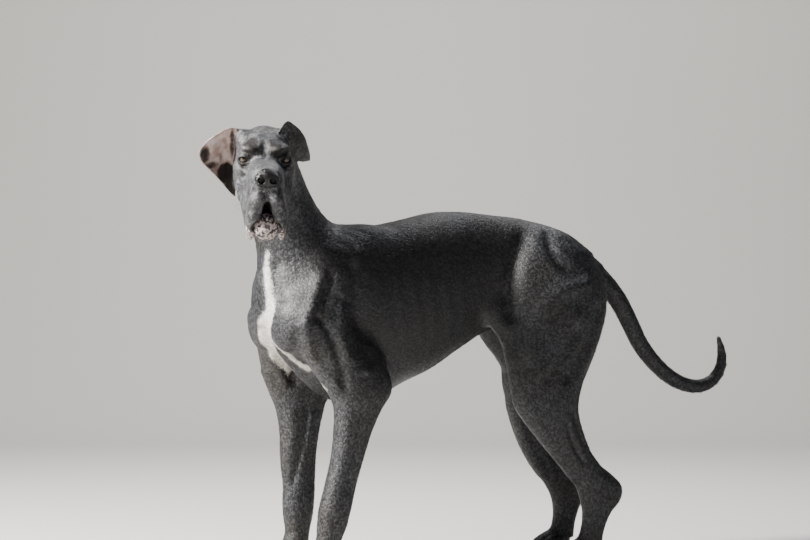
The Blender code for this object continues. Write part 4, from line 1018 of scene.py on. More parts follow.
def skin_mesh():
    """The skin in seven nets, each as fine as its place needs, sewn into one."""
    neck, out = HEAD_CUT
    down = np.array([0.0, 0.0, -1.0])
    pieces = [HEAD, JAW, *EARS]
    parts = [
        open_part(
            skin_field, (-0.500, -0.19, 0.105), (0.52, 0.19, 1.0), BODY_CELL * COARSER,
            [(neck - out * SEAM, out), ((0, 0, PAW_PLANE + SEAM), down), ((TAIL_PLANE, 0, 0), (-1, 0, 0))],
        ),
        open_part(
            skin_field, (-0.86, -0.05, 0.39), (-0.495, 0.05, 0.73), TAIL_CELL * COARSER,
            [((TAIL_PLANE - SEAM, 0, 0), (1, 0, 0))],
        ),
        open_part(
            skin_field, np.min([piece[1] for piece in pieces], axis=0) - 0.01,
            np.max([piece[2] for piece in pieces], axis=0) + 0.01, HEAD_CELL * COARSER,
            [(neck, -out)], HEAD_TRIANGLES,
        ),
    ]
    places = [(neck, 0.15), ((TAIL_PLANE, 0.0, 0.680), 0.06)]
    for place, _, _ in PAWS.values():
        low, high = np.array(place) + (-0.115, -0.065, -0.01), np.array(place) + (0.085, 0.065, 0.13)
        parts.append(open_part(skin_field, low, high, PAW_CELL * COARSER, [((0, 0, PAW_PLANE), -down)]))
        places.append((np.array(place) + (-0.045, 0.0, PAW_PLANE), 0.085))
    return sewn(parts, places)


# What lies where on the skin

def on_skin(rows):
    """A band's middle line, moved onto the skin along its slope, with the half width in each row."""
    rows = finer(rows, 6 * len(rows))
    return np.column_stack([settled(skin_field, rows[:, :3], 0.02, 6), rows[:, 3]])


def patch(p, rows):
    """Half of the width of a drawn band, less the distance to its middle line: above zero inside."""
    far, share = nearness(p, rows[:, :3])
    return np.interp(share, np.linspace(0, 1, len(rows)), rows[:, 3]) - far


BANDS = [on_skin(BLAZE), on_skin(BLAZE_TAIL)]


def spot(q, centre, radii):
    """1 at the middle of an ellipsoid, 0 at and past its surface."""
    far = np.linalg.norm((q - np.asarray(centre)) / np.asarray(radii), axis=1)
    return step(1.0, 0.35, far)


def dark_rims_and_ear_shade(p, q, ear):
    """How dark the rims and patches are: at the nose, the cleft, the lids and brows and at the soles,
    with painted shade in the folds and hollow of the ear."""
    spots = [
        (1.0, (0.134, 0, -0.022), (0.032, 0.031, 0.029)),
        (1.0, (0.126, 0, -0.090), (0.040, 0.015, 0.042)),
    ]
    darks = []
    for side in (1, -1):
        lid = np.linalg.norm(q - EYE_SEAT * (1, side, 1), axis=1)
        front = step(-0.2, 0.3, (q[:, 0] - EYE_SEAT[0]) / EYE_RADIUS)
        darks.append(step(0.0225, 0.0160, lid) * front)
        # Brow, below the eye, above it, and behind the nostril
        spots += [
            (1.0, (-0.005, side * 0.026 - 0.004, 0.0275 - side * 0.0035), (0.05, 0.025, 0.030)),
            (0.65, (0.012, side * 0.044, -0.013), (0.03, 0.024, 0.018)),
            (0.85, (0.012, side * 0.043, 0.010), (0.03, 0.031, 0.015)),
            (0.75, (0.130, side * 0.024, -0.046), (0.03, 0.014, 0.016)),
        ]
    darks += [depth * spot(q, place, radii) for depth, place, radii in spots]
    # Painted shade in the hollows and folds of the ear
    darks += [depth * ear * spot(q[:, 1:], place, radii) for place, radii, depth in EAR_PAINTED_SHADES]
    darks.append(step(0.012, 0.004, p[:, 2]))
    return np.maximum.reduce(darks)


def marked(p, normals):
    """The two sets of values at points of the skin. Marks: white band as 0.5 plus its distance over
    6 cm, inner ear, freckled lips, dark rims with the painted shade of the ear. Parts: head, legs, tail, and
    the tone of a tuft."""
    q = (p - EYE_LINE) @ HEAD_AXES.T
    n = normals @ HEAD_AXES.T
    white = np.maximum.reduce([patch(p, rows) for rows in BANDS])
    ear = np.zeros(len(p))
    for shell, out in ((EARS[1], (0.90, 0.2, 0.1)), (EARS[0], (-0.90, 0.1, -0.2))):
        near = np.all((p > shell[1] - 0.005) & (p < shell[2] + 0.005), axis=1)
        own = np.zeros(len(p))
        own[near] = step(0.004, 0.001, shell[0](p[near])) * step(0.056, 0.066, np.abs(q[near, 1]))
        ear = np.maximum(ear, own * step(0.0, 0.4, n @ np.array(out)))
    lips = np.maximum.reduce([
        spot(q, (0.130, 0.0, -0.090), (0.030, 0.022, 0.030)),
        spot(q, (0.125, 0.0, -0.136), (0.050, 0.044, 0.038)),
        0.9 * spot(q, (0.100, 0.038, -0.152), (0.050, 0.026, 0.036)),
        0.9 * spot(q, (0.100, -0.038, -0.152), (0.050, 0.026, 0.036)),
    ])
    neck, out = HEAD_CUT
    head = step(-0.06, 0.05, (p - neck) @ out)
    legs = step(0.56, 0.40, p[:, 2]) * (1 - head) * step(-0.47, -0.44, p[:, 0])
    tail = step(-0.44, -0.50, p[:, 0])
    tone = np.full(len(p), 0.5)
    return (
        np.stack([np.clip(0.5 + white / 0.06, 0, 1), ear, lips, dark_rims_and_ear_shade(p, q, ear)], axis=1),
        np.stack([head, legs, tail, tone], axis=1),
    )


# Materials

class Value:
    """A socket in a material, worked with as a number: each operation adds its Math node."""

    def __init__(self, finish, socket):
        self.finish = finish
        self.socket = socket

    def math(self, operation, *others):
        return self.finish.node("ShaderNodeMath", {"operation": operation}, dict(enumerate((self, *others))))

    def __add__(self, other):
        return self.math("ADD", other)

    def __mul__(self, other):
        return self.math("MULTIPLY", other)

    def __sub__(self, other):
        return self.math("SUBTRACT", other)

    def __rsub__(self, other):
        return self.finish.node("ShaderNodeMath", {"operation": "SUBTRACT"}, {0: other, 1: self})

    def __truediv__(self, other):
        return self.math("DIVIDE", other)

    def __pow__(self, other):
        return self.math("POWER", other)

    __radd__ = __add__
    __rmul__ = __mul__

    def ramp(self, low, high):
        """0 at low to 1 at high, with smooth ends."""
        return self.finish.node(
            "ShaderNodeMapRange", {"interpolation_type": "SMOOTHSTEP"}, {0: self, 1: low, 2: high}
        )


class Finish:
    """A material and the nodes that make it."""

    def __init__(self, name, **constants):
        self.material = bpy.data.materials.new(name)
        self.material.use_nodes = True
        self.tree = self.material.node_tree
        self.shader = self.tree.nodes["Principled BSDF"]
        for socket, value in constants.items():
            self.shader.inputs[socket.replace("_", " ")].default_value = value
        self.here = self.node("ShaderNodeTexCoord", out="Object")

    def node(self, kind, settings=None, inputs=None, out=0):
        """A node of a type, with its settings, then its sockets' values or links. Gives one output."""
        made = self.tree.nodes.new(kind)
        for name, value in (settings or {}).items():
            setattr(made, name, value)
        for name, value in (inputs or {}).items():
            self.put(made.inputs[name], value)
        return Value(self, made.outputs[out])

    def put(self, socket, value):
        if isinstance(value, Value):
            self.tree.links.new(value.socket, socket)
        else:
            socket.default_value = value

    def set(self, **values):
        """The shader's sockets, by name, and then the finished material."""
        for name, value in values.items():
            self.put(self.shader.inputs[name.replace("_", " ")], value)
        return self.material

    def noise(self, place, scale, detail=2.0, roughness=0.5):
        """Cloudy pattern about 0.5, with this many waves to the metre."""
        inputs = {"Vector": place, "Scale": scale, "Detail": detail, "Roughness": roughness}
        return self.node("ShaderNodeTexNoise", {}, inputs)

    def scaled(self, place, factors):
        """The place, stretched along X, Y and Z."""
        return self.node("ShaderNodeVectorMath", {"operation": "MULTIPLY"}, {0: place, 1: factors})

    def dot(self, place, row):
        """How far the place lies along a row of three numbers."""
        return self.node("ShaderNodeVectorMath", {"operation": "DOT_PRODUCT"}, {0: place, 1: row}, "Value")

    def along(self, place, axes, factors):
        """The place turned to the rows of axes, then scaled along each."""
        parts = {i: self.dot(place, tuple(axes[i] * factors[i])) for i in range(3)}
        return self.node("ShaderNodeCombineXYZ", {}, parts)

    def mix(self, a, b, factor):
        """Colour a, turning to colour b as the factor goes from 0 to 1."""
        return self.node("ShaderNodeMix", {"data_type": "RGBA"}, {0: factor, 6: a, 7: b}, 2)

    def attribute(self, name):
        """The four channels of a colour attribute."""
        made = self.tree.nodes.new("ShaderNodeAttribute")
        made.attribute_name = name
        split = self.tree.nodes.new("ShaderNodeSeparateColor")
        self.tree.links.new(made.outputs["Color"], split.inputs[0])
        sockets = [split.outputs[i] for i in range(3)] + [made.outputs["Alpha"]]
        return [Value(self, socket) for socket in sockets]

    def bump(self, height, depth):
        """Normals of a relief whose full height is depth, in metres."""
        inputs = {"Height": height, "Distance": depth, "Strength": 1.0}
        return self.node("ShaderNodeBump", {}, inputs, "Normal")


# Colours of the coat, the bare skin and the band: each pair is what a grain or a noise turns between
BLACK_HAIR, STEEL_HAIR = (0.0025, 0.0025, 0.0030, 1), (0.062, 0.065, 0.072, 1)
BROWN_ROOT, BROWN_HAIR = (0.0025, 0.0022, 0.0020, 1), (0.050, 0.041, 0.033, 1)
FROSTED_HAIR = (0.125, 0.127, 0.135, 1)
# The dark rim colour also paints the shade of the ear's hollows and folds where those marks reach the fur
DARK_RIM_AND_EAR_SHADE = (0.006, 0.005, 0.005, 1)
EAR_SKIN, PALE_EAR_SKIN = (0.34, 0.22, 0.19, 1), (0.60, 0.49, 0.47, 1)
# Painted shade on the ear's skin: brown in its folds, near black in its hollow
EAR_FOLD_SHADE, EAR_HOLLOW_SHADE = (0.13, 0.070, 0.052, 1), (0.010, 0.007, 0.006, 1)
PALE_LIP, FRECKLE = (0.46, 0.38, 0.37, 1), (0.022, 0.018, 0.018, 1)
BAND_ROOT, BAND_HAIR = (0.34, 0.32, 0.29, 1), (0.66, 0.64, 0.60, 1)


def coat_material(name, bump_depth):
    """Short steel-grey fur: dark and pale hairs stretched along the lie and peppered, darkened on the
    flank by a painted shadow of the head and neck, frosted on the head, a brown cast in broad patches,
    a white band on the breast, bare pink skin in the ear with painted shade in its folds, and freckled lips."""
    paint = Finish(
        name, Specular_IOR_Level=0.36, Sheen_Weight=0.02, Sheen_Roughness=0.30,
        Sheen_Tint=(0.80, 0.86, 1.0, 1.0),
    )
    here = paint.here
    white, ear, lips, dark = paint.attribute("marks")
    head, legs, _, tone = paint.attribute("parts")

    def hairs(length, width):
        """Streaks of hair: along the trunk, down the legs and back from the nose."""
        body = paint.noise(paint.scaled(here, (1 / length, 1 / width, 1 / width)), 1.0)
        down = paint.noise(paint.scaled(here, (1 / width, 1 / width, 1 / length)), 1.0)
        face = paint.noise(paint.along(here, HEAD_AXES, (1.6 / length, 1.25 / width, 1.25 / width)), 1.0)
        lower = body * (1 - legs) + down * legs
        return lower * (1 - head) + face * head

    fine = hairs(0.0065, 0.0012)
    locks = hairs(0.018, 0.0036)
    cast = paint.noise(here, 7.0, 3.0)
    grain = (fine * 0.72 + locks * 0.28 + (tone - 0.5) * 0.25).ramp(0.38, 0.66)
    pepper = paint.noise(here, 150.0, 2.0, 0.6).ramp(0.44, 0.60)
    grain = grain * 0.55 + pepper * 0.45
    # Painted shadow of the head and neck on the flank: the grain is darkened along the trunk, away from the
    # legs and the head
    along = paint.dot(here, (1.0, 0.0, 0.0))
    painted_flank_shadow = along.ramp(-0.16, 0.02) * (0.62 - along).ramp(0.16, 0.30) * (1 - legs) * (1 - head)
    grain = grain * (1 - painted_flank_shadow * 0.55)
    coat = paint.mix(BLACK_HAIR, STEEL_HAIR, grain ** 1.3)
    brown = paint.mix(BROWN_ROOT, BROWN_HAIR, grain ** 1.3)
    mottle = paint.noise(here, 46.0, 4.0, 0.65).ramp(0.40, 0.58) * head
    coat = paint.mix(coat, FROSTED_HAIR, mottle * (grain * 0.80 + 0.05))
    coat = paint.mix(coat, brown, cast.ramp(0.40, 0.66) * 0.6)

    # Dark marks with ragged edges, which in the ear are painted shade of its folds and hollow: shade is their
    # softer form on the bare skin
    ragged = (paint.noise(here, 120.0, 3.0) - 0.5) * 0.8
    inside = (dark * 8.0).ramp(0.0, 1.0)
    shade = (dark + ragged * 0.5 * inside).ramp(0.05, 0.75)
    dark = ((dark * 1.25 + ragged) * inside).ramp(0.25, 0.80)
    coat = paint.mix(coat, DARK_RIM_AND_EAR_SHADE, dark * 0.94)

    skin = paint.mix(EAR_SKIN, PALE_EAR_SKIN, paint.noise(here, 52.0, 3.0).ramp(0.25, 0.70))
    # Painted shade on the ear's skin: brown in the folds, then near black in the hollow
    skin = paint.mix(skin, EAR_FOLD_SHADE, shade)
    skin = paint.mix(skin, EAR_HOLLOW_SHADE, (shade - 0.55) / 0.4)
    coat = paint.mix(coat, skin, (ear * 0.95 + fine * 0.25 - 0.12).ramp(0.25, 0.75))
    freckles = paint.noise(here, 165.0, 2.0).ramp(0.46, 0.55)
    ragged_lips = lips + (paint.noise(here, 120.0, 2.0) - 0.5) * 0.8
    coat = paint.mix(coat, paint.mix(PALE_LIP, FRECKLE, freckles), ragged_lips.ramp(0.35, 0.60) * 0.8)
    edge = (white - 0.5) * 6.0 + (fine - 0.5) * 2.6 + (paint.noise(here, 60.0, 2.0) - 0.5) * 1.2
    coat = paint.mix(coat, paint.mix(BAND_ROOT, BAND_HAIR, grain), edge.ramp(-0.25, 0.45))

    height = fine * 0.4 + locks * 0.3 + pepper * 0.5
    roughness = 0.40 + (1 - grain) * 0.14 + head * 0.08
    return paint.set(Base_Color=coat, Roughness=roughness, Normal=paint.bump(height, bump_depth))


def leather_material():
    """Black, damp nose leather in small cobbles."""
    paint = Finish("nose_leather", Specular_IOR_Level=0.35)
    inputs = {"Vector": paint.here, "Scale": 620.0}
    cells = paint.node("ShaderNodeTexVoronoi", {"feature": "DISTANCE_TO_EDGE"}, inputs, "Distance")
    cobble = cells.ramp(0.0, 0.28)
    tone = paint.mix((0.002, 0.002, 0.0025, 1), (0.007, 0.006, 0.007, 1), paint.noise(paint.here, 160.0))
    return paint.set(Base_Color=tone, Roughness=0.19 + (1 - cobble) * 0.13, Normal=paint.bump(cobble, 0.0002))


def horn_material():
    """Black horn with fine, paler rings."""
    paint = Finish("claw_horn", Specular_IOR_Level=0.5)
    rings = paint.noise(paint.scaled(paint.here, (900.0, 120.0, 900.0)), 1.0)
    tone = paint.mix((0.010, 0.009, 0.009, 1), (0.060, 0.050, 0.042, 1), rings.ramp(0.35, 0.75))
    return paint.set(Base_Color=tone, Roughness=0.28 + rings * 0.18, Normal=paint.bump(rings, 0.0003))


def eye_material():
    """Amber iris with streaks and a dark rim round a black pupil, and a flushed white."""
    paint = Finish("eye", Specular_IOR_Level=0.4, Coat_Weight=0.3, Coat_Roughness=0.03)
    out, turn_a, turn_b, _ = paint.attribute("look")
    spokes = paint.node("ShaderNodeCombineXYZ", {}, {0: turn_a, 1: turn_b, 2: out * 0.5})
    streak = paint.noise(spokes, 9.0, 3.0)
    amber = (streak * 0.8 + out * 0.5).ramp(0.35, 0.75)
    iris = paint.mix((0.020, 0.014, 0.009, 1), (0.075, 0.056, 0.036, 1), amber)
    iris = paint.mix(iris, (0.012, 0.008, 0.005, 1), out.ramp(0.50, 0.57))
    veins = paint.noise(paint.here, 420.0, 3.0).ramp(0.50, 0.60)
    white = paint.mix((0.055, 0.044, 0.038, 1), (0.05, 0.020, 0.016, 1), veins)
    tone = paint.mix(iris, white, out.ramp(0.58, 0.64))
    tone = paint.mix((0.003, 0.003, 0.003, 1), tone, out.ramp(0.28, 0.31))
    return paint.set(Base_Color=tone, Roughness=0.07 + streak * 0.03)


def floor_material():
    """Pale, matt and faintly clouded."""
    paint = Finish("pale_floor")
    cloud = paint.noise(paint.here, 0.6, 2.0)
    tone = paint.mix(FLOOR, tuple(0.94 * value for value in FLOOR[:3]) + (1,), cloud)
    return paint.set(Base_Color=tone, Roughness=0.75 + cloud * 0.1)


# Eyes, nose, claws

def eyeball(side):
    """Eye in rings about its gaze. The radius grows near the axis, as the cornea bulges. The look of
    each point is its distance from the axis, with the cosine and sine of its turn about it."""
    rings, segments, cornea = 44, 48, 0.045
    angle = np.pi * np.linspace(0, 1, rings) ** 1.35
    around = np.linspace(0, 2 * np.pi, segments, endpoint=False)
    angle, around = np.meshgrid(angle[1:-1], around, indexing="ij")
    axes = turned(GAZE_YAW + side * 0.03)
    bulge = 1.0 + cornea * np.exp(-((angle / 0.42) ** 2))
    wide = np.sin(angle)
    spread = np.stack([np.cos(angle), wide * np.cos(around), wide * np.sin(around)], axis=-1)
    points = (spread * bulge[..., None] * EYE_RADIUS).reshape(-1, 3)
    points = np.concatenate([[((1 + cornea) * EYE_RADIUS, 0, 0)], points, [(-EYE_RADIUS, 0, 0)]])
    centre = EYE_LINE + (EYE_SEAT * (1, side, 1)) @ HEAD_AXES
    mesh = mesh_of("eyeball", points @ axes + centre - axes[0] * 0.0007, closed_rings(rings - 2, segments))
    out = np.concatenate([[0.0], np.sin(angle).ravel(), [0.0]])
    out = np.where(np.arange(len(out)) > len(out) / 2, np.maximum(out, 0.9), out)
    turn_a = np.concatenate([[0.0], np.cos(around).ravel(), [0.0]]) * 0.5 + 0.5
    turn_b = np.concatenate([[0.0], np.sin(around).ravel(), [0.0]]) * 0.5 + 0.5
    colours(mesh, "look", np.stack([out, turn_a, turn_b, np.ones(len(out))], axis=1))
    return mesh


def closed_rings(rings, segments):
    """Triangles between rings of points, with a pole before the first and one after the last."""
    i, j = np.meshgrid(np.arange(rings - 1), np.arange(segments), indexing="ij")
    a = 1 + i * segments + j
    b = 1 + i * segments + (j + 1) % segments
    walls = np.concatenate([
        np.stack([a, a + segments, b + segments], axis=-1).reshape(-1, 3),
        np.stack([a, b + segments, b], axis=-1).reshape(-1, 3),
    ])
    turn = np.arange(segments)
    after = (turn + 1) % segments
    last = rings * segments + 1
    base = 1 + (rings - 1) * segments
    start = np.stack([np.zeros_like(turn), 1 + turn, 1 + after], axis=1)
    end = np.stack([np.full_like(turn, last), base + after, base + turn], axis=1)
    return np.concatenate([start, walls, end])


def claws_mesh():
    """All sixteen claws. Each is a cone along a curve that turns down, with its section narrower
    from side to side, and rounded to its tip."""
    rings, segments = 9, 14
    around = np.linspace(0, 2 * np.pi, segments, endpoint=False)
    t, around = np.meshgrid(np.linspace(0, 1, rings), around, indexing="ij")
    angle = np.radians(12 + 38 * t)
    along = CLAW_LENGTH * (t - 0.30)
    radius = CLAW_RADIUS * (1 - 0.80 * t**1.3) * np.where(t > 0.93, 0.7, 1.0)
    tall = radius * np.sin(around)
    forward = along * np.cos(angle) + tall * np.sin(angle)
    up = -along * np.sin(angle) - 0.001 * t + tall * np.cos(angle)
    left = 0.75 * radius * np.cos(around)
    shape = np.stack([forward, left, up], axis=-1).reshape(-1, 3)
    shape = np.concatenate([[shape[:segments].mean(axis=0)], shape, [shape[-segments:].mean(axis=0)]])
    faces = closed_rings(rings, segments)
    points, all_faces = [], []
    for name, (place, length, width) in PAWS.items():
        for across, back in TOES:
            root = (0.5 * length - back - 0.003, across * TOE_PITCH * width / PAW_WIDTH * 1.03, 0.0205)
            all_faces.append(faces + sum(map(len, points)))
            points.append((shape + root) @ paw_axes(name) + place)
    return mesh_of("claws", np.concatenate(points), np.concatenate(all_faces))


def outward(mesh):
    """Faces turned to point out."""
    bm = bmesh.new()
    bm.from_mesh(mesh)
    bmesh.ops.recalc_face_normals(bm, faces=bm.faces)
    bm.to_mesh(mesh)
    bm.free()
    return mesh


# The coat: how hair lies, and tufts on the skin

def middle_lines():
    """Middle lines of the body, in the way that its hair lies: from the nose to the nape, from there
    to the rump, down the tail, down each leg, and from each ear's root to its tip."""
    face = np.array([(0.13, 0, -0.03), (0.05, 0, -0.02), (-0.05, 0, 0.0), (-0.13, 0, -0.01)])
    back = np.array([
        (0.430, 0.040, 0.965), (0.396, 0.015, 0.880), (0.361, 0.004, 0.800), (0.300, 0, 0.700),
        (0.180, 0, 0.640), (0.000, 0, 0.680), (-0.200, 0, 0.720), (-0.470, 0, 0.710),
    ])
    lines = [face @ HEAD_AXES + EYE_LINE, back, TAIL[2:, :3]]
    for rows, side in ((LEFT_FORELEG, 1), (RIGHT_FORELEG, -1), (LEFT_HINDLEG, 1), (RIGHT_HINDLEG, -1)):
        lines.append(np.column_stack([(rows[:, 1] + rows[:, 2]) / 2, side * rows[:, 3], rows[:, 0]]))
    for edges in (LEFT_EAR, RIGHT_EAR):
        lines.append(leaf(edges, 9, 9)[:, 4] @ HEAD_AXES + EYE_LINE)
    return [finer(rows, 24) for rows in lines]


def beside(p, path):
    """At the nearest place of a path: the share of its length, its direction, and the turn about it."""
    _, share = nearness(p, path)
    at = np.linspace(0, 1, len(path))
    run = unit(np.gradient(path, axis=0))
    way = np.stack([np.interp(share, at, run[:, i]) for i in range(3)], axis=1)
    off = p - np.stack([np.interp(share, at, path[:, i]) for i in range(3)], axis=1)
    over = np.cross(way, (0.0, 1.0, 0.0))
    return share, way, np.arctan2((off * over).sum(axis=1), off[:, 1])


def lie_of(p, normals, parts):
    """Direction of the hair on the skin, and each point's place on a chart of nine strips, one for
    each middle line: across is the turn about the line, and up is the share of its length."""
    found = [beside(p, path) for path in middle_lines()]
    head, legs, tail = parts[:, 0:1], parts[:, 1:2], parts[:, 2:3]
    q = (p - EYE_LINE) @ HEAD_AXES.T
    fore = p[:, 0] > 0.0
    left = p[:, 1] > 0.0
    leg = np.where(fore, np.where(left, 3, 4), np.where(left, 5, 6))
    leg_way = np.choose((leg - 3)[:, None], [found[i][1] for i in (3, 4, 5, 6)])
    flow = found[0][1] * head + (1 - head) * (found[1][1] + (0.0, 0.0, -0.35)) * (1 - legs) * (1 - tail)
    flow += leg_way * legs + found[2][1] * tail
    strip = np.where(head[:, 0] > 0.5, 0, np.where(tail[:, 0] > 0.5, 2, np.where(legs[:, 0] > 0.5, leg, 1)))
    for number, shell, side in ((7, EARS[0], 1), (8, EARS[1], -1)):
        near = np.all((p > shell[1] - 0.003) & (p < shell[2] + 0.003), axis=1) & (q[:, 1] * side > 0.060)
        own = near.copy()
        own[near] = shell[0](p[near]) < 0.0025
        flow[own] = found[number][1][own]
        strip[own] = number
    flow = unit(flow - normals * (flow * normals).sum(axis=1, keepdims=True), 1e-6)
    share = np.choose(strip, [item[0] for item in found])
    turn = np.choose(strip, [item[2] for item in found])
    u = (strip % 3 + 0.03 + 0.94 * (turn / (2 * np.pi) + 0.5)) / 3
    v = (strip // 3 + 0.03 + 0.94 * share) / 3
    return flow, np.stack([u, v], axis=1)


def tuft_faces(rings):
    """Triangles of one tuft: its root's section, the walls between its sections, and its point."""
    faces = [(0, 2, 1)]
    for ring in range(rings - 1):
        for a, b in ((0, 1), (1, 2), (2, 0)):
            a, b = a + 3 * ring, b + 3 * ring
            faces += [(a, b, b + 3), (a, b + 3, a + 3)]
    top, tip = 3 * (rings - 1), 3 * rings
    return np.array(faces + [(top, top + 1, tip), (top + 1, top + 2, tip), (top + 2, top, tip)])


def tuft_patch(at):
    """A tuft's patch on the chart, 0.003 across: its sections shrink and rise to its point."""
    s = at.repeat(3)[:, None]
    corners = np.tile([(-0.0015, -0.0015), (0.0015, -0.0015), (0.0, -0.0004)], (len(at), 1)) * (1 - s)
    corners[:, 1:] += 0.0028 * s
    return np.concatenate([corners, [(0.0, 0.0015)]])


def tufts(name, root, out, lie, length, width, lift, sag, marks, parts, chart, rings=1):
    """Three-sided tufts as one mesh. Each runs from its root, sunk a little, along the lie; it rises
    by lift and falls by sag times the square of the way; its section narrows from the width to a
    point. The normals are the skin's, leaning a little to each side, so that it blends."""
    count = len(root)
    side = np.cross(out, lie)
    at = np.linspace(0.0, 1.0, rings + 1)[:-1]
    sections = []
    for s in at:
        way = lie * s + out * (lift[:, None] * s - sag[:, None] * s * s)
        centre = root - out * TUFT_SINK + length[:, None] * way
        half = (width * 0.5 * (1 - s) ** 0.7)[:, None]
        sections += [centre - side * half, centre + side * half, centre + out * half * 0.8]
    tip = root + length[:, None] * (lie + out * (lift - sag)[:, None])
    points = np.stack(sections + [tip], axis=1)
    each = points.shape[1]
    faces = (tuft_faces(rings)[None] + each * np.arange(count)[:, None, None]).reshape(-1, 3)
    mesh = bpy.data.meshes.new(name)
    mesh.vertices.add(count * each)
    mesh.vertices.foreach_set("co", points.astype(np.float32).ravel())
    mesh.loops.add(len(faces) * 3)
    mesh.loops.foreach_set("vertex_index", faces.astype(np.int32).ravel())
    mesh.polygons.add(len(faces))
    mesh.polygons.foreach_set("loop_start", np.arange(0, len(faces) * 3, 3, dtype=np.int32))
    mesh.update()
    colours(mesh, "marks", np.repeat(marks, each, axis=0))
    colours(mesh, "parts", np.repeat(parts, each, axis=0))
    uv = (chart[:, None, :] + tuft_patch(at)[None]).reshape(-1, 2)[faces.ravel()]
    mesh.uv_layers.new(name="OFBake").data.foreach_set("uv", uv.astype(np.float32).ravel())
    shown(name, mesh, "coat")
    leaning = np.array([-TUFT_LEAN, TUFT_LEAN, 0.0] * rings + [0.0])
    lean = unit(out[:, None, :] + side[:, None, :] * leaning[None, :, None])
    mesh.normals_split_custom_set_from_vertices(lean.reshape(-1, 3).tolist())
    mesh.materials.append(TUFT_FINISH)


def strewn(mesh, count, density, rng, values):
    """Seeded places over the skin: a face is drawn by its area times its density, a place in it by
    chance, and each table of values at the vertices is read there."""
    mesh.calc_loop_triangles()
    corners = np.empty(len(mesh.loop_triangles) * 3, np.int32)
    mesh.loop_triangles.foreach_get("vertices", corners)
    corners = corners.reshape(-1, 3)
    a, b, c = (values[0][corners[:, i]] for i in range(3))
    weight = np.linalg.norm(np.cross(b - a, c - a), axis=1) * density[corners].mean(axis=1)
    pick = corners[rng.choice(len(corners), count, p=weight / weight.sum())]
    s, t = np.sqrt(rng.random(count)), rng.random(count)
    share = np.stack([1 - s, s * (1 - t), s * t], axis=1)
    return [sum(table[pick[:, i]] * share[:, i : i + 1] for i in range(3)) for table in values]


def fringe_of(p, n, parts):
    """Where hair breaks the outline, and how long it is there: under the tail, behind the thighs and
    forearms, along the keel of the breast and the belly, and down the front of the throat and breast."""
    below, behind = -n[:, 2], -n[:, 0]
    middle = step(0.045, 0.015, np.abs(p[:, 1]))
    head, tail = parts[:, 0], parts[:, 2]
    hind = step(0.0, -0.1, p[:, 0])
    rows = [
        (tail * step(0.0, 0.7, below), 0.0120),
        (hind * (1 - tail) * step(0.45, 0.85, behind) * step(0.26, 0.34, p[:, 2]), 0.0090),
        ((1 - hind) * step(0.45, 0.85, behind) * step(0.14, 0.24, p[:, 2]) * step(0.52, 0.46, p[:, 2]),
         0.0075),
        (middle * step(0.5, 0.9, below) * step(0.38, 0.42, p[:, 2]) * (1 - head) * (1 - tail), 0.0085),
        (middle * step(0.4, 0.9, n[:, 0]) * step(0.46, 0.52, p[:, 2]) * (1 - head) * (1 - hind), 0.0070),
    ]
    strength = np.max([row[0] for row in rows], axis=0)
    length = np.max([row[0] * row[1] for row in rows], axis=0) / np.maximum(strength, 1e-6)
    return strength, length


def bare_of(points):
    """1 where no tuft grows: at the eyes, on the nose leather, in the mouth's cleft and at the soles."""
    q = (points - EYE_LINE) @ HEAD_AXES.T
    leather = np.linalg.norm((q - (0.138, 0, -0.020)) / (0.022, 0.0255, 0.0215), axis=1)
    places = [
        step(1.12, 1.02, leather),
        spot(q, (0.130, 0, -0.100), (0.040, 0.016, 0.030)),
        step(0.012, 0.006, points[:, 2]),
    ]
    for side in (1, -1):
        eye = np.linalg.norm(q - EYE_SEAT * (1, side, 1), axis=1)
        places.append(step(EYE_RADIUS + 0.0045, EYE_RADIUS + 0.0030, eye))
    return np.maximum.reduce(places)


def swept(root, out, parts, sway, rng):
    """The lie of the hair at each root, turned a little by chance, and the root's place on the chart."""
    lie, chart = lie_of(root, out, parts)
    return unit(lie + np.cross(out, lie) * rng.normal(0, sway, (len(root), 1))), chart


def short_coat(mesh, tables, bare, rng):
    """Small tufts on every side, smallest and closest on the head and the paws, and hardly any in the
    ears. The pieces follow each other from the rear to the front."""
    points, _, marks, parts = tables
    count = int(TUFT_COUNT * COAT_SHARE)
    paws = step(0.14, 0.09, points[:, 2])
    size = 1 - 0.62 * np.maximum(parts[:, 0], paws)
    density = (1 - bare) * (1 - 0.97 * marks[:, 1]) * (1 - 0.5 * marks[:, 2]) / size**2.2
    found = strewn(mesh, count, density, rng, [*tables, size[:, None]])
    order = np.argsort(found[0][:, 0])
    root, out, mark, part, size = (rows[order] for rows in found)
    out = unit(out)
    size = size[:, 0]
    part[:, 3] = rng.random(count)
    lie, chart = swept(root, out, part, 0.16, rng)
    length = TUFT_LENGTH * size * rng.uniform(0.75, 1.25, count)
    width = TUFT_WIDTH * size * rng.uniform(0.7, 1.2, count)
    lift = rng.uniform(0.06, 0.16, count)
    whole = (root, out, lie, length, width, lift, lift * 0.2, mark, part, chart)
    for number, start in enumerate(range(0, count, TUFTS_PER_PIECE)):
        own = slice(start, start + TUFTS_PER_PIECE)
        tufts("coat_" + str(number + 1), *(rows[own] for rows in whole))


def long_fringe(mesh, tables, bare, rng):
    """Longer tufts where hair breaks the outline."""
    points, normals, _, parts = tables
    count = int(FRINGE_COUNT * COAT_SHARE)
    strength, length = fringe_of(points, normals, parts)
    found = strewn(mesh, count, strength * (1 - bare), rng, [*tables, length[:, None]])
    root, out, mark, part, length = found
    out = unit(out)
    part[:, 3] = rng.random(count)
    lie, chart = swept(root, out, part, 0.14, rng)
    length = length[:, 0] * rng.uniform(0.7, 1.25, count)
    lift = rng.uniform(0.20, 0.42, count)
    width = np.full(count, FRINGE_WIDTH)
    tufts("fringe", root, out, lie, length, width, lift, lift * 0.45, mark, part, chart, 2)


def read_at(rows, at):
    """Rows of points, read at places that lie between them."""
    return np.stack([np.interp(at, np.arange(len(rows)), rows[:, i]) for i in range(3)], axis=1)


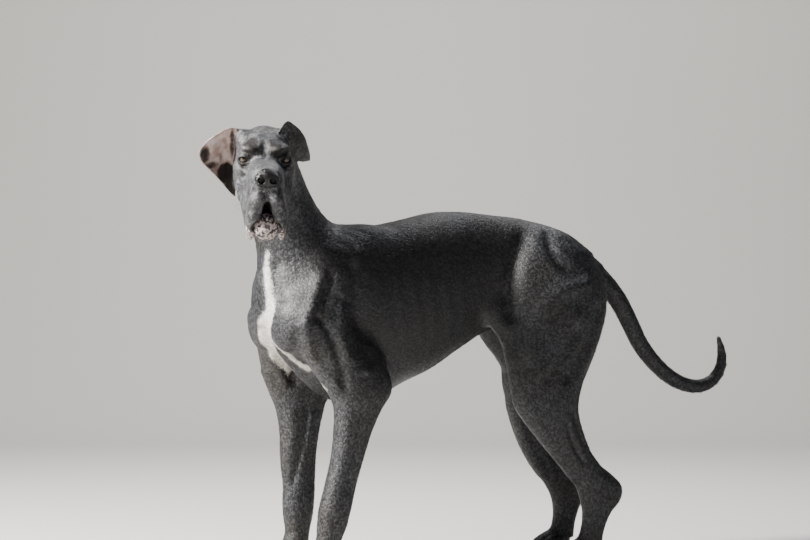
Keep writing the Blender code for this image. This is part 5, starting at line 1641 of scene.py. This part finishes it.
def ear_fringe(rng):
    """Short hairs that stand out from the edges of the ears, in the plane of the sheet."""
    roots, ways, outs = [], [], []
    each = int(EDGE_HAIRS * COAT_SHARE)
    for edges in (LEFT_EAR, RIGHT_EAR):
        points = leaf(edges, 24, 28) @ HEAD_AXES + EYE_LINE
        faces = unit(np.cross(np.gradient(points, axis=0), np.gradient(points, axis=1)))
        borders = [
            (points[3:, 0], points[3:, 1], faces[3:, 0]),
            (points[-1], points[-2], faces[-1]),
            (points[3:, -1], points[3:, -2], faces[3:, -1]),
        ]
        for border, inner, face in borders:
            at = rng.random(each) * (len(border) - 1)
            facing = read_at(face, at)
            roots.append(read_at(border, at) + facing * rng.uniform(-0.0012, 0.0012, (each, 1)))
            ways.append(unit(read_at(border - inner, at)))
            outs.append(facing * rng.choice([-1.0, 1.0], (each, 1)))
    way = np.concatenate(ways)
    root = np.concatenate(roots) - way * 0.0012
    out = unit(np.concatenate(outs))
    way += rng.normal(0, 0.35, way.shape)
    way = unit(way - out * (way * out).sum(axis=1, keepdims=True))
    count = len(root)
    marks, parts = marked(root, out)
    marks[:, 1] *= 0.4
    parts[:, 3] = rng.random(count)
    _, chart = lie_of(root, out, parts)
    lift = rng.uniform(0.0, 0.2, count)
    length = rng.uniform(0.0028, 0.0050, count)
    tufts("ear_fringe", root, out, way, length, np.full(count, 0.0009), lift, lift, marks, parts, chart, 2)


def whisker_rows():
    """Root in the head's frame, way and length of each whisker: four rows of six on each side of the
    muzzle, then four over each eye and four on each side of the chin."""
    rows = []
    for side in (1, -1):
        for row in range(4):
            for place in range(6):
                root = (0.128 - 0.016 * place - 0.004 * row, side * 0.046, -0.050 - 0.016 * row)
                rows.append((*root, 0.55, side * 0.9, -0.15, 0.042))
        for place in range(4):
            rows.append((0.010, side * (0.024 + 0.008 * place), 0.040, 0.8, side * 0.25, 0.6, 0.026))
            rows.append((0.135, side * 0.010 * (place + 0.5), -0.150, 0.8, side * 0.35, -0.7, 0.020))
    return np.array(rows)


def whiskers(rng):
    """Stiff hairs that spring outwards and droop. Their roots are moved onto the skin along its slope."""
    rows = whisker_rows()
    count = len(rows)
    rows[:, :3] += rng.normal(0, 0.0020, (count, 3))
    root = settled(skin_field, rows[:, :3] @ HEAD_AXES + EYE_LINE, 0.02, 8)
    way = unit(rows[:, 3:6] + rng.normal(0, 0.12, (count, 3))) @ HEAD_AXES
    out = unit(np.cross(np.cross(way, (0.0, 0.0, 1.0)), way))
    marks, parts = marked(root, out)
    parts[:, 3] = 0.2
    _, chart = lie_of(root, out, parts)
    length = rows[:, 6] * rng.uniform(0.7, 1.2, count)
    sag = rng.uniform(0.10, 0.28, count)
    width, lift = np.full(count, 0.00055), np.full(count, 0.05)
    tufts("whiskers", root, out, way, length, width, lift, sag, marks, parts, chart, 6)


def build_coat(mesh, *tables):
    """The whole coat, strewn over the skin with one seed."""
    rng = np.random.default_rng(COAT_SEED)
    bare = bare_of(tables[0])
    short_coat(mesh, tables, bare, rng)
    long_fringe(mesh, tables, bare, rng)
    ear_fringe(rng)
    whiskers(rng)


def build_skin():
    """One skin in place of all the nodes of flesh. It returns the mesh with its tables of points,
    normals, marks and parts."""
    mesh = skin_mesh()
    points = places_of(mesh)
    normals = unit(slope_of(skin_field, points, 0.0008), 1e-6)
    marks, parts = marked(points, normals)
    colours(mesh, "marks", marks)
    colours(mesh, "parts", parts)
    flesh = [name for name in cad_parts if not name.startswith(("eye", "claw", "nose"))]
    shown("skin", mesh, "coat", *flesh)
    mesh.normals_split_custom_set_from_vertices(normals.tolist())
    mesh.materials.append(coat_material("coat_skin", 0.0009))
    return mesh, points, normals, marks, parts


def build_nose():
    """Nose leather, on a finer net of its own."""
    field, low, high = placed(nose_clay(), EYE_LINE, HEAD_AXES)
    points, faces = surface_net(field, low - 0.004, high + 0.004, NOSE_CELL)
    mesh = outward(mesh_of("nose", settled(field, points, NOSE_CELL), faces))
    shown("nose_leather", mesh, "nose", "nose").data.materials.append(leather_material())


def build_eyes():
    """Both eyeballs, with one finish."""
    finish = eye_material()
    for name, side in (("left", 1), ("right", -1)):
        piece = shown("eyeball_" + name, outward(eyeball(side)), "eye", "eye_" + name)
        piece.data.materials.append(finish)


def build_claws():
    """One piece in place of the sixteen claws."""
    nodes = [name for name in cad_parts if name.startswith("claw")]
    shown("claws", outward(claws_mesh()), "claw", *nodes).data.materials.append(horn_material())


TUFT_FINISH = coat_material("coat_tufts", 0.0003)
build_coat(*build_skin())
build_nose()
build_eyes()
build_claws()


# Floor, backdrop, camera and light

FLOOR = (0.56, 0.55, 0.53, 1)
TOWARD = np.array([math.sin(CAMERA_YAW), math.cos(CAMERA_YAW), 0.0])
RIGHT = np.array([-TOWARD[1], TOWARD[0], 0.0])
UPWARD = np.array([0.0, 0.0, 1.0])
MIDDLE = 0.55 * UPWARD


def sweep():
    """Floor that turns up into a backdrop: a line, a quarter circle and a line, drawn sideways."""
    turn = np.linspace(0, np.pi / 2, 16)
    far, radius, wide = 4.0, 2.0, 9.0
    away = np.concatenate([[-9.0], np.linspace(-3, far, 8), far + radius * np.sin(turn[1:]), [far + radius]])
    high = np.concatenate([np.zeros(9), radius * (1 - np.cos(turn[1:])), [7.0]])
    sides = np.linspace(-wide, wide, 9)
    points = away[:, None, None] * -TOWARD + sides[None, :, None] * RIGHT + high[:, None, None] * UPWARD
    number = np.arange(points[..., 0].size).reshape(points.shape[:2])
    faces = np.stack([number[:-1, :-1], number[1:, :-1], number[1:, 1:], number[:-1, 1:]], axis=-1)
    mesh = mesh_of("sweep", points.reshape(-1, 3), faces.reshape(-1, 4))
    mesh.shade_smooth()
    thing = bpy.data.objects.new("floor", mesh)
    bpy.context.scene.collection.objects.link(thing)
    thing.data.materials.append(floor_material())


def aimed(thing, place, target):
    """A camera or a light, set at a place and turned to look at a target."""
    thing.location = Vector(place)
    thing.rotation_euler = (Vector(target) - Vector(place)).to_track_quat("-Z", "Y").to_euler()
    bpy.context.scene.collection.objects.link(thing)
    return thing


def light(name, place, target, size, watts, colour):
    """A round lamp, as wide as its size in metres."""
    data = bpy.data.lights.new(name, "AREA")
    data.shape = "DISK"
    data.size = size
    data.energy = watts
    data.color = colour
    aimed(bpy.data.objects.new(name, data), place, target)


sweep()
lens = bpy.data.cameras.new("camera")
lens.lens = LENS
lens.sensor_width = 36.0
stand = SHIFT * (1, 1, 0) + TOWARD * CAMERA_DISTANCE + RIGHT * CAMERA_SIDE + UPWARD * CAMERA_HEIGHT
bpy.context.scene.camera = aimed(bpy.data.objects.new("camera", lens), stand, stand - TOWARD)

light("key", MIDDLE - 2.95 * RIGHT + 1.30 * TOWARD + 2.16 * UPWARD, MIDDLE, 0.8, 820.0, (1.0, 0.97, 0.92))
light("fill", MIDDLE + 2.20 * RIGHT + 3.60 * TOWARD + 1.0 * UPWARD, MIDDLE, 3.0, 14.0, (0.86, 0.93, 1.0))
light("top", MIDDLE - 1.44 * TOWARD + 0.64 * RIGHT + 3.2 * UPWARD, MIDDLE, 1.6, 60.0, (0.95, 0.97, 1.0))
light("backdrop", 3.0 * UPWARD - 1.6 * TOWARD, UPWARD - 5.0 * TOWARD, 3.0, 90.0, (1.0, 0.99, 0.97))
world = bpy.data.worlds.new("studio")
world.use_nodes = True
air = world.node_tree.nodes["Background"]
air.inputs["Color"].default_value = (0.80, 0.83, 0.88, 1)
air.inputs["Strength"].default_value = 0.14
bpy.context.scene.world = world
